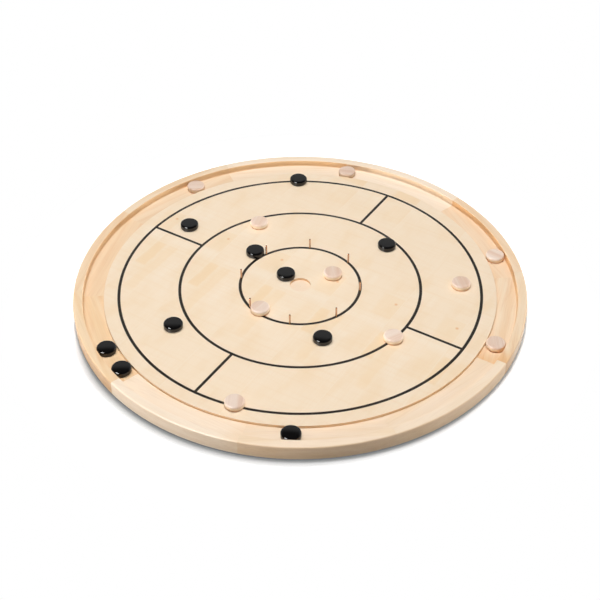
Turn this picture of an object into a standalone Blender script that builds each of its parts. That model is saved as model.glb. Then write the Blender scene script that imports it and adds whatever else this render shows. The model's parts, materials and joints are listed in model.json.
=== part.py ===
"""Round crokinole board with its posts and discs, as separate solids.

The board stands on its felt pads on the plane z = 0, with its middle on the Z axis.
Lengths are in metres and angles in degrees, counted from +X towards +Y.
Run with: blender --background --python part.py
"""

import math

import bmesh
import bpy
from mathutils import Vector

# Fits
SEAT_GAP = 0.0003
GLUE_GAP = 0.0003
CUT_OVERRUN = 0.002
WELD_DISTANCE = 0.0000003

# Discs
DISC_DIAMETER = 0.03175
DISC_THICKNESS = 0.0095
DISC_EDGE_RADIUS = 0.0025
DISC_SIDES = 24
DISC_EDGE_STEPS = 2

# Playing panel
PANEL_THICKNESS = 0.012
TWENTY_HOLE_MARGIN = 0.0016
TWENTY_HOLE_DEPTH = 0.0045
TWENTY_HOLE_SIDES = 40
INNER_LINE_RADIUS = 0.1016
MIDDLE_LINE_RADIUS = 0.2032
OUTER_LINE_RADIUS = 0.3048
OUTER_MARGIN = 0.0252
LINE_WIDTH = 0.005
QUADRANT_BEARINGS = (45.0, 135.0, 225.0, 315.0)

# Ring of glued segments, with the ditch
SEGMENT_COUNT = 10
SEGMENT_STEPS = 12
FIRST_JOINT_BEARING = 27.0
DITCH_SIDE_PLAY = 0.001125
DITCH_DEPTH = 0.005
COVE_RADIUS = 0.0025
COVE_STEPS = 2
RIM_WIDTH = 0.016
RIM_RISE = 0.0065
RIM_ROUND_RADIUS = 0.0025
RIM_ROUND_STEPS = 2
RIM_INNER_ARRIS = 0.001
RIM_FOOT_ARRIS = 0.001
LEDGE_WIDTH = 0.025
LEDGE_THICKNESS = 0.0062

# Loose tenons across the glued joints
TENON_WIDTH = 0.028
TENON_LENGTH = 0.024
TENON_THICKNESS = 0.005
TENON_EDGE_STEPS = 3

# Posts
POST_COUNT = 8
FIRST_POST_BEARING = 22.5
POST_DIAMETER = 0.003
POST_HEIGHT = 0.0195
POST_EMBED = 0.008
POST_TIP_CHAMFER = 0.0004
POST_SIDES = 12

# Wood screws, from below through the ledge into the panel
SCREW_SEGMENTS = (1, 3, 5, 7, 9)
SCREW_HEAD_DIAMETER = 0.0068
SCREW_HEAD_HEIGHT = 0.0022
SCREW_HEAD_LAND = 0.0003
SCREW_SHANK_DIAMETER = 0.0034
SCREW_LENGTH = 0.012
SCREW_TIP_LENGTH = 0.0024
SCREW_TIP_DIAMETER = 0.0008
SCREW_SOCKET_WIDTH = 0.0024
SCREW_SOCKET_DEPTH = 0.0012
SCREW_SIDES = 16
SOCKET_SIDES = 4

# Felt pads
PAD_SEGMENTS = (2, 4, 6, 8, 10)
PAD_DIAMETER = 0.020
PAD_THICKNESS = 0.002
PAD_SIDES = 24

# Where the discs lie on the panel: share of the play radius, then bearing
BLACK_TOP_SHARES = (
    (0.918, 77.7),
    (0.776, 127.8),
    (0.101, 124.0),
    (0.557, 21.4),
    (0.704, 194.6),
    (0.436, 271.5),
)
NATURAL_TOP_SHARES = (
    (0.557, 100.6),
    (0.183, 10.4),
    (0.822, 346.4),
    (0.615, 304.5),
    (0.916, 237.9),
)

# Discs that lie beside a post: post bearing, bearing of the disc from that post, space between
BLACK_BY_POST = ((112.5, 159.9, 0.0023),)
NATURAL_BY_POST = ((202.5, 321.1, 0.0013),)

# Discs in the ditch: bearing, then distance outside the middle of the ditch
BLACK_DITCH_SPOTS = ((194.4, 0.0003), (203.5, 0.0003), (254.8, -0.0005))
NATURAL_DITCH_SPOTS = ((0.0, 0.0003), (62.2, -0.0007), (111.2, 0.0003), (321.5, -0.0007))

# Worked out from the sizes above
LINE_CIRCLES = (INNER_LINE_RADIUS, MIDDLE_LINE_RADIUS, OUTER_LINE_RADIUS)
PLAY_RADIUS = OUTER_LINE_RADIUS + OUTER_MARGIN
DISC_RADIUS = DISC_DIAMETER / 2
POST_RADIUS = POST_DIAMETER / 2
TWENTY_HOLE_RADIUS = DISC_RADIUS + TWENTY_HOLE_MARGIN
REBATE_RADIUS = PLAY_RADIUS + SEAT_GAP
LEDGE_INNER_RADIUS = PLAY_RADIUS - LEDGE_WIDTH
WALL_RADIUS = PLAY_RADIUS + DISC_DIAMETER + 2 * DITCH_SIDE_PLAY
RIM_RADIUS = WALL_RADIUS + RIM_WIDTH
DITCH_MIDDLE_RADIUS = (PLAY_RADIUS + WALL_RADIUS) / 2
SEGMENT_ANGLE = 360.0 / SEGMENT_COUNT
ROUND_SIDES = SEGMENT_COUNT * SEGMENT_STEPS

RING_BOTTOM_Z = PAD_THICKNESS + SEAT_GAP
LEDGE_TOP_Z = RING_BOTTOM_Z + LEDGE_THICKNESS
PANEL_BOTTOM_Z = LEDGE_TOP_Z + SEAT_GAP
PLAY_Z = PANEL_BOTTOM_Z + PANEL_THICKNESS
DITCH_FLOOR_Z = PLAY_Z - DITCH_DEPTH
RIM_TOP_Z = PLAY_Z + RIM_RISE
TENON_MIDDLE_Z = (RING_BOTTOM_Z + DITCH_FLOOR_Z) / 2
TENON_MIDDLE_RADIUS = (REBATE_RADIUS + RIM_RADIUS) / 2
SCREW_CIRCLE_RADIUS = PLAY_RADIUS - LEDGE_WIDTH / 2
PAD_CIRCLE_RADIUS = (LEDGE_INNER_RADIUS + RIM_RADIUS) / 2

# Edges sharper than this many degrees stay sharp
TURNED_SHARP_ANGLE = 35.0
RING_SHARP_ANGLE = 30.0
ROUND_EDGE_SHARP_ANGLE = 50.0

# Tone of each ring segment, as sRGB hex
SEGMENT_COLOURS = (
    "efdcb8",
    "e6cba4",
    "ead0a8",
    "e2c197",
    "e3c49c",
    "f0d9be",
    "f1e0c4",
    "efdcba",
    "deba8b",
    "e9cfaa",
)


def clear_scene():
    """Remove every object that the file holds."""
    for old in list(bpy.data.objects):
        bpy.data.objects.remove(old, do_unlink=True)


def linear_colour(hex_colour):
    """Turn an sRGB hex colour to linear red, green, blue and alpha."""
    channels = [int(hex_colour[i : i + 2], 16) / 255 for i in (0, 2, 4)]
    curved = [c / 12.92 if c <= 0.04045 else ((c + 0.055) / 1.055) ** 2.4 for c in channels]
    return (*curved, 1.0)


def make_material(name, hex_colour, roughness, metallic=0.0):
    """Return a Principled material of one colour."""
    material = bpy.data.materials.new(name)
    material.use_nodes = True
    shader = material.node_tree.nodes["Principled BSDF"]
    shader.inputs["Base Color"].default_value = linear_colour(hex_colour)
    shader.inputs["Roughness"].default_value = roughness
    shader.inputs["Metallic"].default_value = metallic
    material.diffuse_color = linear_colour(hex_colour)
    return material


def polar(radius, bearing, height=0.0):
    """Return the point at a radius and a bearing, at a height."""
    angle = math.radians(bearing)
    return Vector((radius * math.cos(angle), radius * math.sin(angle), height))


def direction(bearing):
    """Return the level unit vector along a bearing."""
    return polar(1, bearing)


def place(name, mesh, materials, location=(0, 0, 0), bearing=0.0, parent=None):
    """Link a mesh as a named object, turned about Z by a bearing."""
    mesh.materials.clear()
    for material in materials:
        mesh.materials.append(material)
    piece = bpy.data.objects.new(name, mesh)
    bpy.context.scene.collection.objects.link(piece)
    piece.location = location
    piece.rotation_euler = (0, 0, math.radians(bearing))
    piece.parent = parent
    return piece


def make_empty(name, location=(0, 0, 0), bearing=0.0, parent=None):
    """Link an empty that carries other pieces."""
    empty = bpy.data.objects.new(name, None)
    bpy.context.scene.collection.objects.link(empty)
    empty.location = location
    empty.rotation_euler = (0, 0, math.radians(bearing))
    empty.parent = parent
    return empty


def finish_mesh(name, bm, sharp_angle=None):
    """Turn a bmesh into a mesh with its faces pointing out, smooth below the sharp angle."""
    bmesh.ops.recalc_face_normals(bm, faces=bm.faces[:])
    mesh = bpy.data.meshes.new(name)
    bm.to_mesh(mesh)
    bm.free()
    if sharp_angle is not None:
        mesh.shade_smooth()
        mesh.set_sharp_from_angle(angle=math.radians(sharp_angle))
    return mesh


def arc_points(centre, radius, start, end, steps):
    """Return points on an arc of a profile, both ends included, angles from the radius axis."""
    turns = [math.radians(start + (end - start) * i / steps) for i in range(steps + 1)]
    return [(centre[0] + radius * math.cos(t), centre[1] + radius * math.sin(t)) for t in turns]


def turned_bmesh(profile, sides):
    """Turn a profile of (radius, height) points, bottom to top, into a solid closed by flat ends."""
    bm = bmesh.new()
    rings = []
    for radius, height in profile:
        rings.append([bm.verts.new(polar(radius, 360.0 * i / sides, height)) for i in range(sides)])
    for lower, upper in zip(rings, rings[1:]):
        for i in range(sides):
            j = (i + 1) % sides
            bm.faces.new((lower[i], lower[j], upper[j], upper[i]))
    bm.faces.new(rings[0][::-1])
    bm.faces.new(rings[-1])
    return bm


def turned_mesh(name, profile, sides, sharp_angle=TURNED_SHARP_ANGLE):
    """Return the mesh of a turned profile."""
    return finish_mesh(name, turned_bmesh(profile, sides), sharp_angle)


def cut(piece, cutter):
    """Cut one solid out of another for good, and remove the cutter."""
    modifier = piece.modifiers.new("cut", "BOOLEAN")
    modifier.operation = "DIFFERENCE"
    modifier.solver = "EXACT"
    modifier.object = cutter
    cutter.hide_render = True
    cutter.display_type = "WIRE"
    bpy.context.view_layer.update()
    depsgraph = bpy.context.evaluated_depsgraph_get()
    cut_mesh = bpy.data.meshes.new_from_object(piece.evaluated_get(depsgraph))
    piece.modifiers.clear()
    piece.data = cut_mesh
    bpy.data.objects.remove(cutter, do_unlink=True)


def ring_profile():
    """Return the closed section of a ring segment, above the ring's underside."""
    rim_top = RIM_TOP_Z - RING_BOTTOM_Z
    floor = DITCH_FLOOR_Z - RING_BOTTOM_Z
    points = [(LEDGE_INNER_RADIUS, 0.0), (RIM_RADIUS - RIM_FOOT_ARRIS, 0.0), (RIM_RADIUS, RIM_FOOT_ARRIS)]
    round_centre = (RIM_RADIUS - RIM_ROUND_RADIUS, rim_top - RIM_ROUND_RADIUS)
    points += arc_points(round_centre, RIM_ROUND_RADIUS, 0, 90, RIM_ROUND_STEPS)
    points += [(WALL_RADIUS + RIM_INNER_ARRIS, rim_top), (WALL_RADIUS, rim_top - RIM_INNER_ARRIS)]
    cove_centre = (WALL_RADIUS - COVE_RADIUS, floor + COVE_RADIUS)
    points += arc_points(cove_centre, COVE_RADIUS, 0, -90, COVE_STEPS)
    points += [(REBATE_RADIUS, floor), (REBATE_RADIUS, LEDGE_THICKNESS)]
    points.append((LEDGE_INNER_RADIUS, LEDGE_THICKNESS))
    return points


def segment_mesh():
    """Return one ring segment, centred on +X, with its ends held back for the glue line."""
    bm = bmesh.new()
    sections = []
    for step in range(SEGMENT_STEPS + 1):
        bearing = SEGMENT_ANGLE * (step / SEGMENT_STEPS - 0.5)
        side = {0: 1, SEGMENT_STEPS: -1}.get(step, 0)
        hold_back = polar(side * GLUE_GAP / 2, bearing + 90.0)
        sections.append([bm.verts.new(polar(r, bearing, z) + hold_back) for r, z in ring_profile()])
    count = len(sections[0])
    for near, far in zip(sections, sections[1:]):
        for i in range(count):
            j = (i + 1) % count
            bm.faces.new((near[i], near[j], far[j], far[i]))
    bm.faces.new(sections[0])
    bm.faces.new(sections[-1][::-1])
    return finish_mesh("ring_segment", bm, RING_SHARP_ANGLE)


def tenon_mesh(grow=0.0):
    """Return a flat tenon with round edges, its length along Y, larger all round by grow."""
    half_thickness = TENON_THICKNESS / 2 + grow
    half_width = TENON_WIDTH / 2 + grow
    half_length = TENON_LENGTH / 2 + grow
    reach = half_width - half_thickness
    outline = arc_points((reach, 0.0), half_thickness, -90, 90, TENON_EDGE_STEPS)
    outline += arc_points((-reach, 0.0), half_thickness, 90, 270, TENON_EDGE_STEPS)
    bm = bmesh.new()
    front = [bm.verts.new((x, -half_length, z)) for x, z in outline]
    back = [bm.verts.new((x, half_length, z)) for x, z in outline]
    for i in range(len(outline)):
        j = (i + 1) % len(outline)
        bm.faces.new((front[i], front[j], back[j], back[i]))
    bm.faces.new(front)
    bm.faces.new(back[::-1])
    return finish_mesh("loose_tenon", bm, ROUND_EDGE_SHARP_ANGLE)


def screw_profile(grow=0.0):
    """Return a countersunk screw's profile, head down, larger all round by grow."""
    head = SCREW_HEAD_DIAMETER / 2 + grow
    shank = SCREW_SHANK_DIAMETER / 2 + grow
    tip = SCREW_TIP_DIAMETER / 2 + grow
    return [
        (head, 0.0),
        (head, SCREW_HEAD_LAND + grow),
        (shank, SCREW_HEAD_HEIGHT + grow),
        (shank, SCREW_LENGTH - SCREW_TIP_LENGTH + grow),
        (tip, SCREW_LENGTH + grow),
    ]


def screw_cutter():
    """Return the hole that takes a screw, run out below the ring."""
    profile = screw_profile(SEAT_GAP)
    profile.insert(0, (profile[0][0], -CUT_OVERRUN))
    return turned_mesh("screw_cutter", profile, SCREW_SIDES)


def build_ring(board, finishes):
    """Build the ten ring segments with their mortises, and the screw holes in every other one."""
    blank = segment_mesh()
    for index in range(SEGMENT_COUNT):
        number = index + 1
        bearing = FIRST_JOINT_BEARING + SEGMENT_ANGLE * (index + 0.5)
        name = f"ring_segment_{number:02d}"
        segment = place(name, blank.copy(), [finishes[index]], (0, 0, RING_BOTTOM_Z), bearing, board)
        for end in (-0.5, 0.5):
            joint = bearing + SEGMENT_ANGLE * end
            spot = polar(TENON_MIDDLE_RADIUS, joint, TENON_MIDDLE_Z)
            cut(segment, place("mortise_cutter", tenon_mesh(SEAT_GAP), [], spot, joint))
        if number in SCREW_SEGMENTS:
            spot = polar(SCREW_CIRCLE_RADIUS, bearing, RING_BOTTOM_Z)
            cut(segment, place("screw_cutter", screw_cutter(), [], spot, bearing))


def build_tenons(board, finish):
    """Build a loose tenon across each joint of the ring."""
    for index in range(SEGMENT_COUNT):
        joint = FIRST_JOINT_BEARING + SEGMENT_ANGLE * index
        spot = polar(TENON_MIDDLE_RADIUS, joint, TENON_MIDDLE_Z)
        place(f"loose_tenon_{index + 1:02d}", tenon_mesh(), [finish], spot, joint, board)


def split_quadrant_lines(bm):
    """Split the outer band of the panel's face along the edges of the four quadrant lines."""
    for bearing in QUADRANT_BEARINGS:
        across = direction(bearing + 90.0)
        along = direction(bearing)
        for side in (-1, 1):
            band = [face for face in bm.faces if in_outer_band(face) and near_line(face, along, across)]
            edges = {edge for face in band for edge in face.edges}
            verts = {vert for face in band for vert in face.verts}
            bmesh.ops.bisect_plane(
                bm,
                geom=[*verts, *edges, *band],
                dist=WELD_DISTANCE,
                plane_co=across * (side * LINE_WIDTH / 2),
                plane_no=across,
            )


def in_outer_band(face):
    """Say whether a face is on the panel's top, between the middle and the outer circle."""
    centre = face.calc_center_median()
    radius = math.hypot(centre.x, centre.y)
    on_top = face.normal.z > 0.5 and abs(centre.z - PANEL_THICKNESS) < SEAT_GAP
    return on_top and MIDDLE_LINE_RADIUS + LINE_WIDTH / 2 < radius < OUTER_LINE_RADIUS - LINE_WIDTH / 2


def near_line(face, along, across):
    """Say whether a face reaches the strip of a quadrant line."""
    offsets = [vert.co.dot(across) for vert in face.verts]
    ahead = face.calc_center_median().dot(along) > 0
    return ahead and min(offsets) < LINE_WIDTH / 2 and max(offsets) > -LINE_WIDTH / 2


def is_inked(face):
    """Say whether a face of the panel is part of a printed line."""
    centre = face.calc_center_median()
    if abs(face.normal.z) < 0.5 or abs(centre.z - PANEL_THICKNESS) > SEAT_GAP:
        return False
    radius = math.hypot(centre.x, centre.y)
    if any(abs(radius - circle) < LINE_WIDTH / 2 for circle in LINE_CIRCLES):
        return True
    if not MIDDLE_LINE_RADIUS < radius < OUTER_LINE_RADIUS:
        return False
    offsets = [abs(centre.dot(direction(bearing + 90.0))) for bearing in QUADRANT_BEARINGS]
    return min(offsets) < LINE_WIDTH / 2


def panel_mesh():
    """Return the blank panel, its face split along the edges of the printed lines."""
    radii = []
    for circle in LINE_CIRCLES:
        radii += [circle - LINE_WIDTH / 2, circle + LINE_WIDTH / 2]
    top_radii = [PLAY_RADIUS, *reversed(radii)]
    profile = [(PLAY_RADIUS, 0.0)] + [(radius, PANEL_THICKNESS) for radius in top_radii]
    bm = turned_bmesh(profile, ROUND_SIDES)
    bm.normal_update()
    split_quadrant_lines(bm)
    for face in bm.faces:
        face.material_index = 1 if is_inked(face) else 0
    return finish_mesh("playing_panel", bm)


def build_panel(board, wood, ink):
    """Build the playing panel with its centre hole, post sockets and screw holes."""
    panel = place("playing_panel", panel_mesh(), [wood, ink], (0, 0, PANEL_BOTTOM_Z), 0.0, board)
    floor = PLAY_Z - TWENTY_HOLE_DEPTH
    hole = [(TWENTY_HOLE_RADIUS, floor), (TWENTY_HOLE_RADIUS, PLAY_Z + CUT_OVERRUN)]
    cut(panel, place("hole_cutter", turned_mesh("hole_cutter", hole, TWENTY_HOLE_SIDES), [wood]))
    socket_radius = POST_RADIUS + SEAT_GAP
    socket = [(socket_radius, PLAY_Z - POST_EMBED - SEAT_GAP), (socket_radius, PLAY_Z + CUT_OVERRUN)]
    for bearing in post_bearings():
        spot = polar(INNER_LINE_RADIUS, bearing)
        blank = turned_mesh("socket_cutter", socket, POST_SIDES)
        cut(panel, place("socket_cutter", blank, [wood], spot, bearing))
    for number in SCREW_SEGMENTS:
        bearing = FIRST_JOINT_BEARING + SEGMENT_ANGLE * (number - 0.5)
        spot = polar(SCREW_CIRCLE_RADIUS, bearing, RING_BOTTOM_Z)
        cut(panel, place("screw_cutter", screw_cutter(), [wood], spot, bearing))


def post_bearings():
    """Return the bearing of each post."""
    return [FIRST_POST_BEARING + 360.0 * index / POST_COUNT for index in range(POST_COUNT)]


def build_posts(board, finish):
    """Build the metal posts that stand on the inner circle."""
    profile = [
        (POST_RADIUS, -POST_EMBED),
        (POST_RADIUS, POST_HEIGHT - POST_TIP_CHAMFER),
        (POST_RADIUS - POST_TIP_CHAMFER, POST_HEIGHT),
    ]
    mesh = turned_mesh("post", profile, POST_SIDES)
    for index, bearing in enumerate(post_bearings()):
        spot = polar(INNER_LINE_RADIUS, bearing, PLAY_Z)
        place(f"post_{index + 1}", mesh, [finish], spot, bearing, board)


def build_screws(board, finish):
    """Build the countersunk screws with their square drive sockets."""
    for index, number in enumerate(SCREW_SEGMENTS):
        bearing = FIRST_JOINT_BEARING + SEGMENT_ANGLE * (number - 0.5)
        spot = polar(SCREW_CIRCLE_RADIUS, bearing, RING_BOTTOM_Z)
        blank = turned_mesh("panel_screw", screw_profile(), SCREW_SIDES)
        screw = place(f"panel_screw_{index + 1}", blank, [finish], spot, bearing, board)
        corner = SCREW_SOCKET_WIDTH / math.sqrt(2)
        socket = [(corner, -CUT_OVERRUN), (corner, SCREW_SOCKET_DEPTH)]
        square = turned_mesh("socket_cutter", socket, SOCKET_SIDES)
        cut(screw, place("socket_cutter", square, [finish], spot, bearing))


def build_pads(board, finish):
    """Build the felt pads that the board stands on."""
    profile = [(PAD_DIAMETER / 2, 0.0), (PAD_DIAMETER / 2, PAD_THICKNESS)]
    mesh = turned_mesh("felt_pad", profile, PAD_SIDES)
    for index, number in enumerate(PAD_SEGMENTS):
        bearing = FIRST_JOINT_BEARING + SEGMENT_ANGLE * (number - 0.5)
        place(f"felt_pad_{index + 1}", mesh, [finish], polar(PAD_CIRCLE_RADIUS, bearing), bearing, board)


def disc_mesh():
    """Return a playing disc with rounded edges, standing on its flat face."""
    inner = DISC_RADIUS - DISC_EDGE_RADIUS
    upper = DISC_THICKNESS - DISC_EDGE_RADIUS
    profile = arc_points((inner, DISC_EDGE_RADIUS), DISC_EDGE_RADIUS, -90, 0, DISC_EDGE_STEPS)
    profile += arc_points((inner, upper), DISC_EDGE_RADIUS, 0, 90, DISC_EDGE_STEPS)
    return turned_mesh("disc", profile, DISC_SIDES, ROUND_EDGE_SHARP_ANGLE)


def disc_spots(top_shares, by_post):
    """Return the middle of each disc that lies on the panel."""
    spots = [polar(share * PLAY_RADIUS, bearing) for share, bearing in top_shares]
    touch = DISC_RADIUS + POST_RADIUS
    for post, bearing, space in by_post:
        spots.append(polar(INNER_LINE_RADIUS, post) + polar(touch + space, bearing))
    return spots


def build_discs(board, colour, finish, spots, ditch_spots):
    """Build one side's discs, those on the panel first and then those in the ditch."""
    mesh = disc_mesh()
    number = 0
    for spot in spots:
        number += 1
        location = (spot.x, spot.y, PLAY_Z + SEAT_GAP)
        place(f"{colour}_disc_{number:02d}", mesh, [finish], location, 0.0, board)
    for bearing, offset in ditch_spots:
        number += 1
        turn = make_empty(f"{colour}_ditch_turn_{number:02d}", (0, 0, 0), bearing, board)
        location = (DITCH_MIDDLE_RADIUS + offset, 0, DITCH_FLOOR_Z + SEAT_GAP)
        place(f"{colour}_disc_{number:02d}", mesh, [finish], location, 0.0, turn)


def build():
    """Build the whole board."""
    clear_scene()
    board = make_empty("board")
    segment_finishes = []
    for number, colour in enumerate(SEGMENT_COLOURS, start=1):
        segment_finishes.append(make_material(f"maple_segment_{number:02d}", colour, 0.42))
    build_ring(board, segment_finishes)
    build_tenons(board, make_material("beech_tenon", "c9a273", 0.7))
    panel_maple = make_material("maple_panel", "f2dfbd", 0.36)
    build_panel(board, panel_maple, make_material("line_ink", "2a2522", 0.45))
    build_posts(board, make_material("nickel_plated_steel", "b4aca2", 0.28, 1.0))
    build_screws(board, make_material("zinc_plated_steel", "b9b7ac", 0.35, 1.0))
    build_pads(board, make_material("grey_felt", "5b5955", 0.95))
    black = make_material("black_lacquered_wood", "1a1a1c", 0.22)
    black_spots = disc_spots(BLACK_TOP_SHARES, BLACK_BY_POST)
    build_discs(board, "black", black, black_spots, BLACK_DITCH_SPOTS)
    natural = make_material("natural_lacquered_wood", "ecd2b6", 0.35)
    natural_spots = disc_spots(NATURAL_TOP_SHARES, NATURAL_BY_POST)
    build_discs(board, "natural", natural, natural_spots, NATURAL_DITCH_SPOTS)
    bpy.context.view_layer.update()


build()
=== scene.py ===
"""Studio picture of a crokinole board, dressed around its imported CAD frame.

The board lies level on a white floor. Its ring of glued maple segments, veneered playing panel,
posts, discs, screws and pads are modelled here at the places of the frame's nodes, and the loose
tenons keep their nodes. Lengths are in metres and bearings in degrees from +X towards +Y.
"""

from __future__ import annotations

import json
import logging
import math
from collections.abc import Callable, Sequence
from dataclasses import asdict, dataclass, replace
from enum import Enum

import bmesh
import bpy
from mathutils import Matrix, Vector

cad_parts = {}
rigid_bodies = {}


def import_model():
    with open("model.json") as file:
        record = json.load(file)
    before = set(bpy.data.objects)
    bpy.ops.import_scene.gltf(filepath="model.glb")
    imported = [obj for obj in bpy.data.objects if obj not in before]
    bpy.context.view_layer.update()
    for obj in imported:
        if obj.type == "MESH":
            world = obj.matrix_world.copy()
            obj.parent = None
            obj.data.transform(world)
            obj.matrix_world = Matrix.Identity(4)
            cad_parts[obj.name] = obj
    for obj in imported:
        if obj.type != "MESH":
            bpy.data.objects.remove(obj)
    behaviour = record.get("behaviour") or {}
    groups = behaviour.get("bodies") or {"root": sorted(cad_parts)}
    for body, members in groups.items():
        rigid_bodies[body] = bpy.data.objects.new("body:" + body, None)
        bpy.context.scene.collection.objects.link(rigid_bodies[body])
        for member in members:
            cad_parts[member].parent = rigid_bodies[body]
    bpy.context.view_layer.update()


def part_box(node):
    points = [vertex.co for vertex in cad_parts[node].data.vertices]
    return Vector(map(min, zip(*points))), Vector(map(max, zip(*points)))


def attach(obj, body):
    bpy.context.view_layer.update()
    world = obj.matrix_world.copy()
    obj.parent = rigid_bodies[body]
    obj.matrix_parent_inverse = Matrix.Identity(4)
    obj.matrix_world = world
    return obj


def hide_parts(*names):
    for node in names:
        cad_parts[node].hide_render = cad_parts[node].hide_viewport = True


# Short names of Blender's own types
Piece = bpy.types.Object
Tree = bpy.types.NodeTree
Socket = bpy.types.NodeSocket
Inputs = dict[str | int, object]

LOG = logging.getLogger("crokinole_board")
BOARD = "board"

# How near two places count as touching, and how near two points count as one
TOUCH = 0.00002
WELD = 0.000001

# Sockets of the colour mix node, which has one set of sockets for each kind of value
MIX_A = 6
MIX_B = 7
MIX_OUT = 2


class Pick(Enum):
    """What an edit-mode tool acts on."""

    POINTS = "VERT"
    EDGES = "EDGE"
    FACES = "FACE"


class Slot(Enum):
    """Material slots of the record."""

    RING = "ring_maple"
    PANEL = "panel_maple"
    POST = "post_steel"
    SCREW = "screw_steel"
    PAD = "pad_felt"
    BLACK = "black_disc_lacquer"
    NATURAL = "natural_disc_wood"


class Blend(Enum):
    """How a tint goes over a colour."""

    COVER = "MIX"
    STAIN = "MULTIPLY"


# Workshop tools


def polar(radius: float, bearing: float, height: float = 0.0) -> Vector:
    """Return the point at a radius and a bearing, at a height."""
    angle = math.radians(bearing)
    return Vector((radius * math.cos(angle), radius * math.sin(angle), height))


def bearing_of(place: Vector) -> float:
    """Return the bearing of a place from the board's middle."""
    return math.degrees(math.atan2(place.y, place.x))


def node_middle(node: str) -> Vector:
    """Return the middle of a frame node's box."""
    low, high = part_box(node)
    return (low + high) / 2


def deselect_all() -> None:
    """Leave nothing selected, in object mode."""
    if bpy.context.object and bpy.context.object.mode != "OBJECT":
        leave_edit()
    bpy.ops.object.select_all(action="DESELECT")


def activate(piece: Piece) -> None:
    """Make a piece the only selected object and the active one.

    Args:
        piece: The piece to work on.
    """
    deselect_all()
    piece.select_set(True)
    bpy.context.view_layer.objects.active = piece


def enter_edit(piece: Piece) -> None:
    """Open a piece in edit mode."""
    activate(piece)
    bpy.ops.object.mode_set(mode="EDIT")


def leave_edit() -> None:
    """Go back to object mode."""
    bpy.ops.object.mode_set(mode="OBJECT")


def choose(piece: Piece, kind: Pick, test: Callable[[Vector], bool]) -> None:
    """Select, in edit mode, the points, edges or faces that lie where a test says.

    Args:
        piece: The piece that is open in edit mode.
        kind: What is selected. Edges go by both their ends, and faces by their middle.
        test: Says whether a place belongs to the selection.
    """
    bpy.ops.mesh.select_mode(type=kind.value)
    bpy.ops.mesh.select_all(action="DESELECT")
    shape = bmesh.from_edit_mesh(piece.data)
    if kind is Pick.POINTS:
        chosen = [point for point in shape.verts if test(point.co)]
    elif kind is Pick.EDGES:
        chosen = [edge for edge in shape.edges if all(test(end.co) for end in edge.verts)]
    else:
        chosen = [face for face in shape.faces if test(face.calc_center_median())]
    for part in chosen:
        part.select_set(True)
    shape.select_flush_mode()
    bmesh.update_edit_mesh(piece.data)


def spin_all(steps: int, angle: float) -> None:
    """Spin what is open in edit mode about the Z axis, and close its seam with faces outward.

    Args:
        steps: How many steps make the angle.
        angle: The angle, in radians.
    """
    bpy.ops.mesh.select_all(action="SELECT")
    bpy.ops.mesh.spin(steps=steps, angle=angle, center=(0, 0, 0), axis=(0, 0, 1))
    bpy.ops.mesh.select_all(action="SELECT")
    bpy.ops.mesh.remove_doubles(threshold=WELD)
    bpy.ops.mesh.normals_make_consistent(inside=False)


def settle(piece: Piece) -> None:
    """Put a piece's place, turn and scale into its mesh."""
    activate(piece)
    bpy.ops.object.transform_apply(location=True, rotation=True, scale=True)


def copy_piece(piece: Piece, name: str, turn: float = 0.0, shift: Sequence[float] = (0, 0, 0)) -> Piece:
    """Copy a piece with its own mesh.

    Args:
        piece: The piece to copy.
        name: The copy's name.
        turn: Turn about the Z axis, in degrees.
        shift: Move after the turn.

    Returns:
        The copy, settled.
    """
    copy = piece.copy()
    copy.data = piece.data.copy()
    copy.name = name
    copy.data.name = name
    bpy.context.scene.collection.objects.link(copy)
    copy.matrix_world = Matrix.Translation(shift) @ Matrix.Rotation(math.radians(turn), 4, "Z")
    settle(copy)
    return copy


def discard(piece: Piece) -> None:
    """Remove a piece and its mesh.

    Args:
        piece: The piece that isn't needed any more.
    """
    mesh = piece.data
    bpy.data.objects.remove(piece, do_unlink=True)
    bpy.data.meshes.remove(mesh)


def carve(piece: Piece, cutter: Piece) -> None:
    """Cut a cutter's shape out of a piece for good, and throw the cutter away.

    Args:
        piece: The piece that is cut.
        cutter: The closed shape of what goes.
    """
    activate(piece)
    modifier = piece.modifiers.new("carve", "BOOLEAN")
    modifier.operation = "DIFFERENCE"
    modifier.solver = "EXACT"
    modifier.object = cutter
    bpy.ops.object.modifier_apply(modifier=modifier.name)
    discard(cutter)


def smooth(piece: Piece, sharp_angle: float) -> None:
    """Shade a piece smooth wherever its faces meet below an angle in degrees."""
    activate(piece)
    bpy.ops.object.shade_smooth_by_angle(angle=math.radians(sharp_angle))


@dataclass(frozen=True)
class Corner:
    """A corner of a turned profile, with the radius that rounds it."""

    radius: float
    height: float
    rounding: float = 0.0
    steps: int = 1


def turn_piece(name: str, corners: Sequence[Corner], sides: int) -> Piece:
    """Turn a profile about the Z axis, as on a lathe.

    Args:
        name: The piece's name.
        corners: The profile, from the axis below, round the outside, to the axis above.
        sides: How many steps make the full turn.

    Returns:
        The closed piece, with the roundings bevelled.
    """
    deselect_all()
    bpy.ops.mesh.primitive_plane_add(size=0.01, location=(0, 0, 0))
    piece = bpy.context.object
    piece.name = name
    piece.data.name = name
    bpy.ops.object.mode_set(mode="EDIT")
    bpy.ops.mesh.select_mode(type=Pick.POINTS.value)
    bpy.ops.mesh.select_all(action="SELECT")
    bpy.ops.mesh.merge(type="CENTER")
    here = Vector((corners[0].radius, 0, corners[0].height))
    bpy.ops.transform.translate(value=here)
    for corner in corners[1:]:
        there = Vector((corner.radius, 0, corner.height))
        bpy.ops.mesh.extrude_region_move(TRANSFORM_OT_translate={"value": there - here})
        here = there
    spin_all(sides, math.tau)
    for corner in corners:
        if corner.rounding:
            round_circle(piece, corner)
    leave_edit()
    return piece


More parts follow.
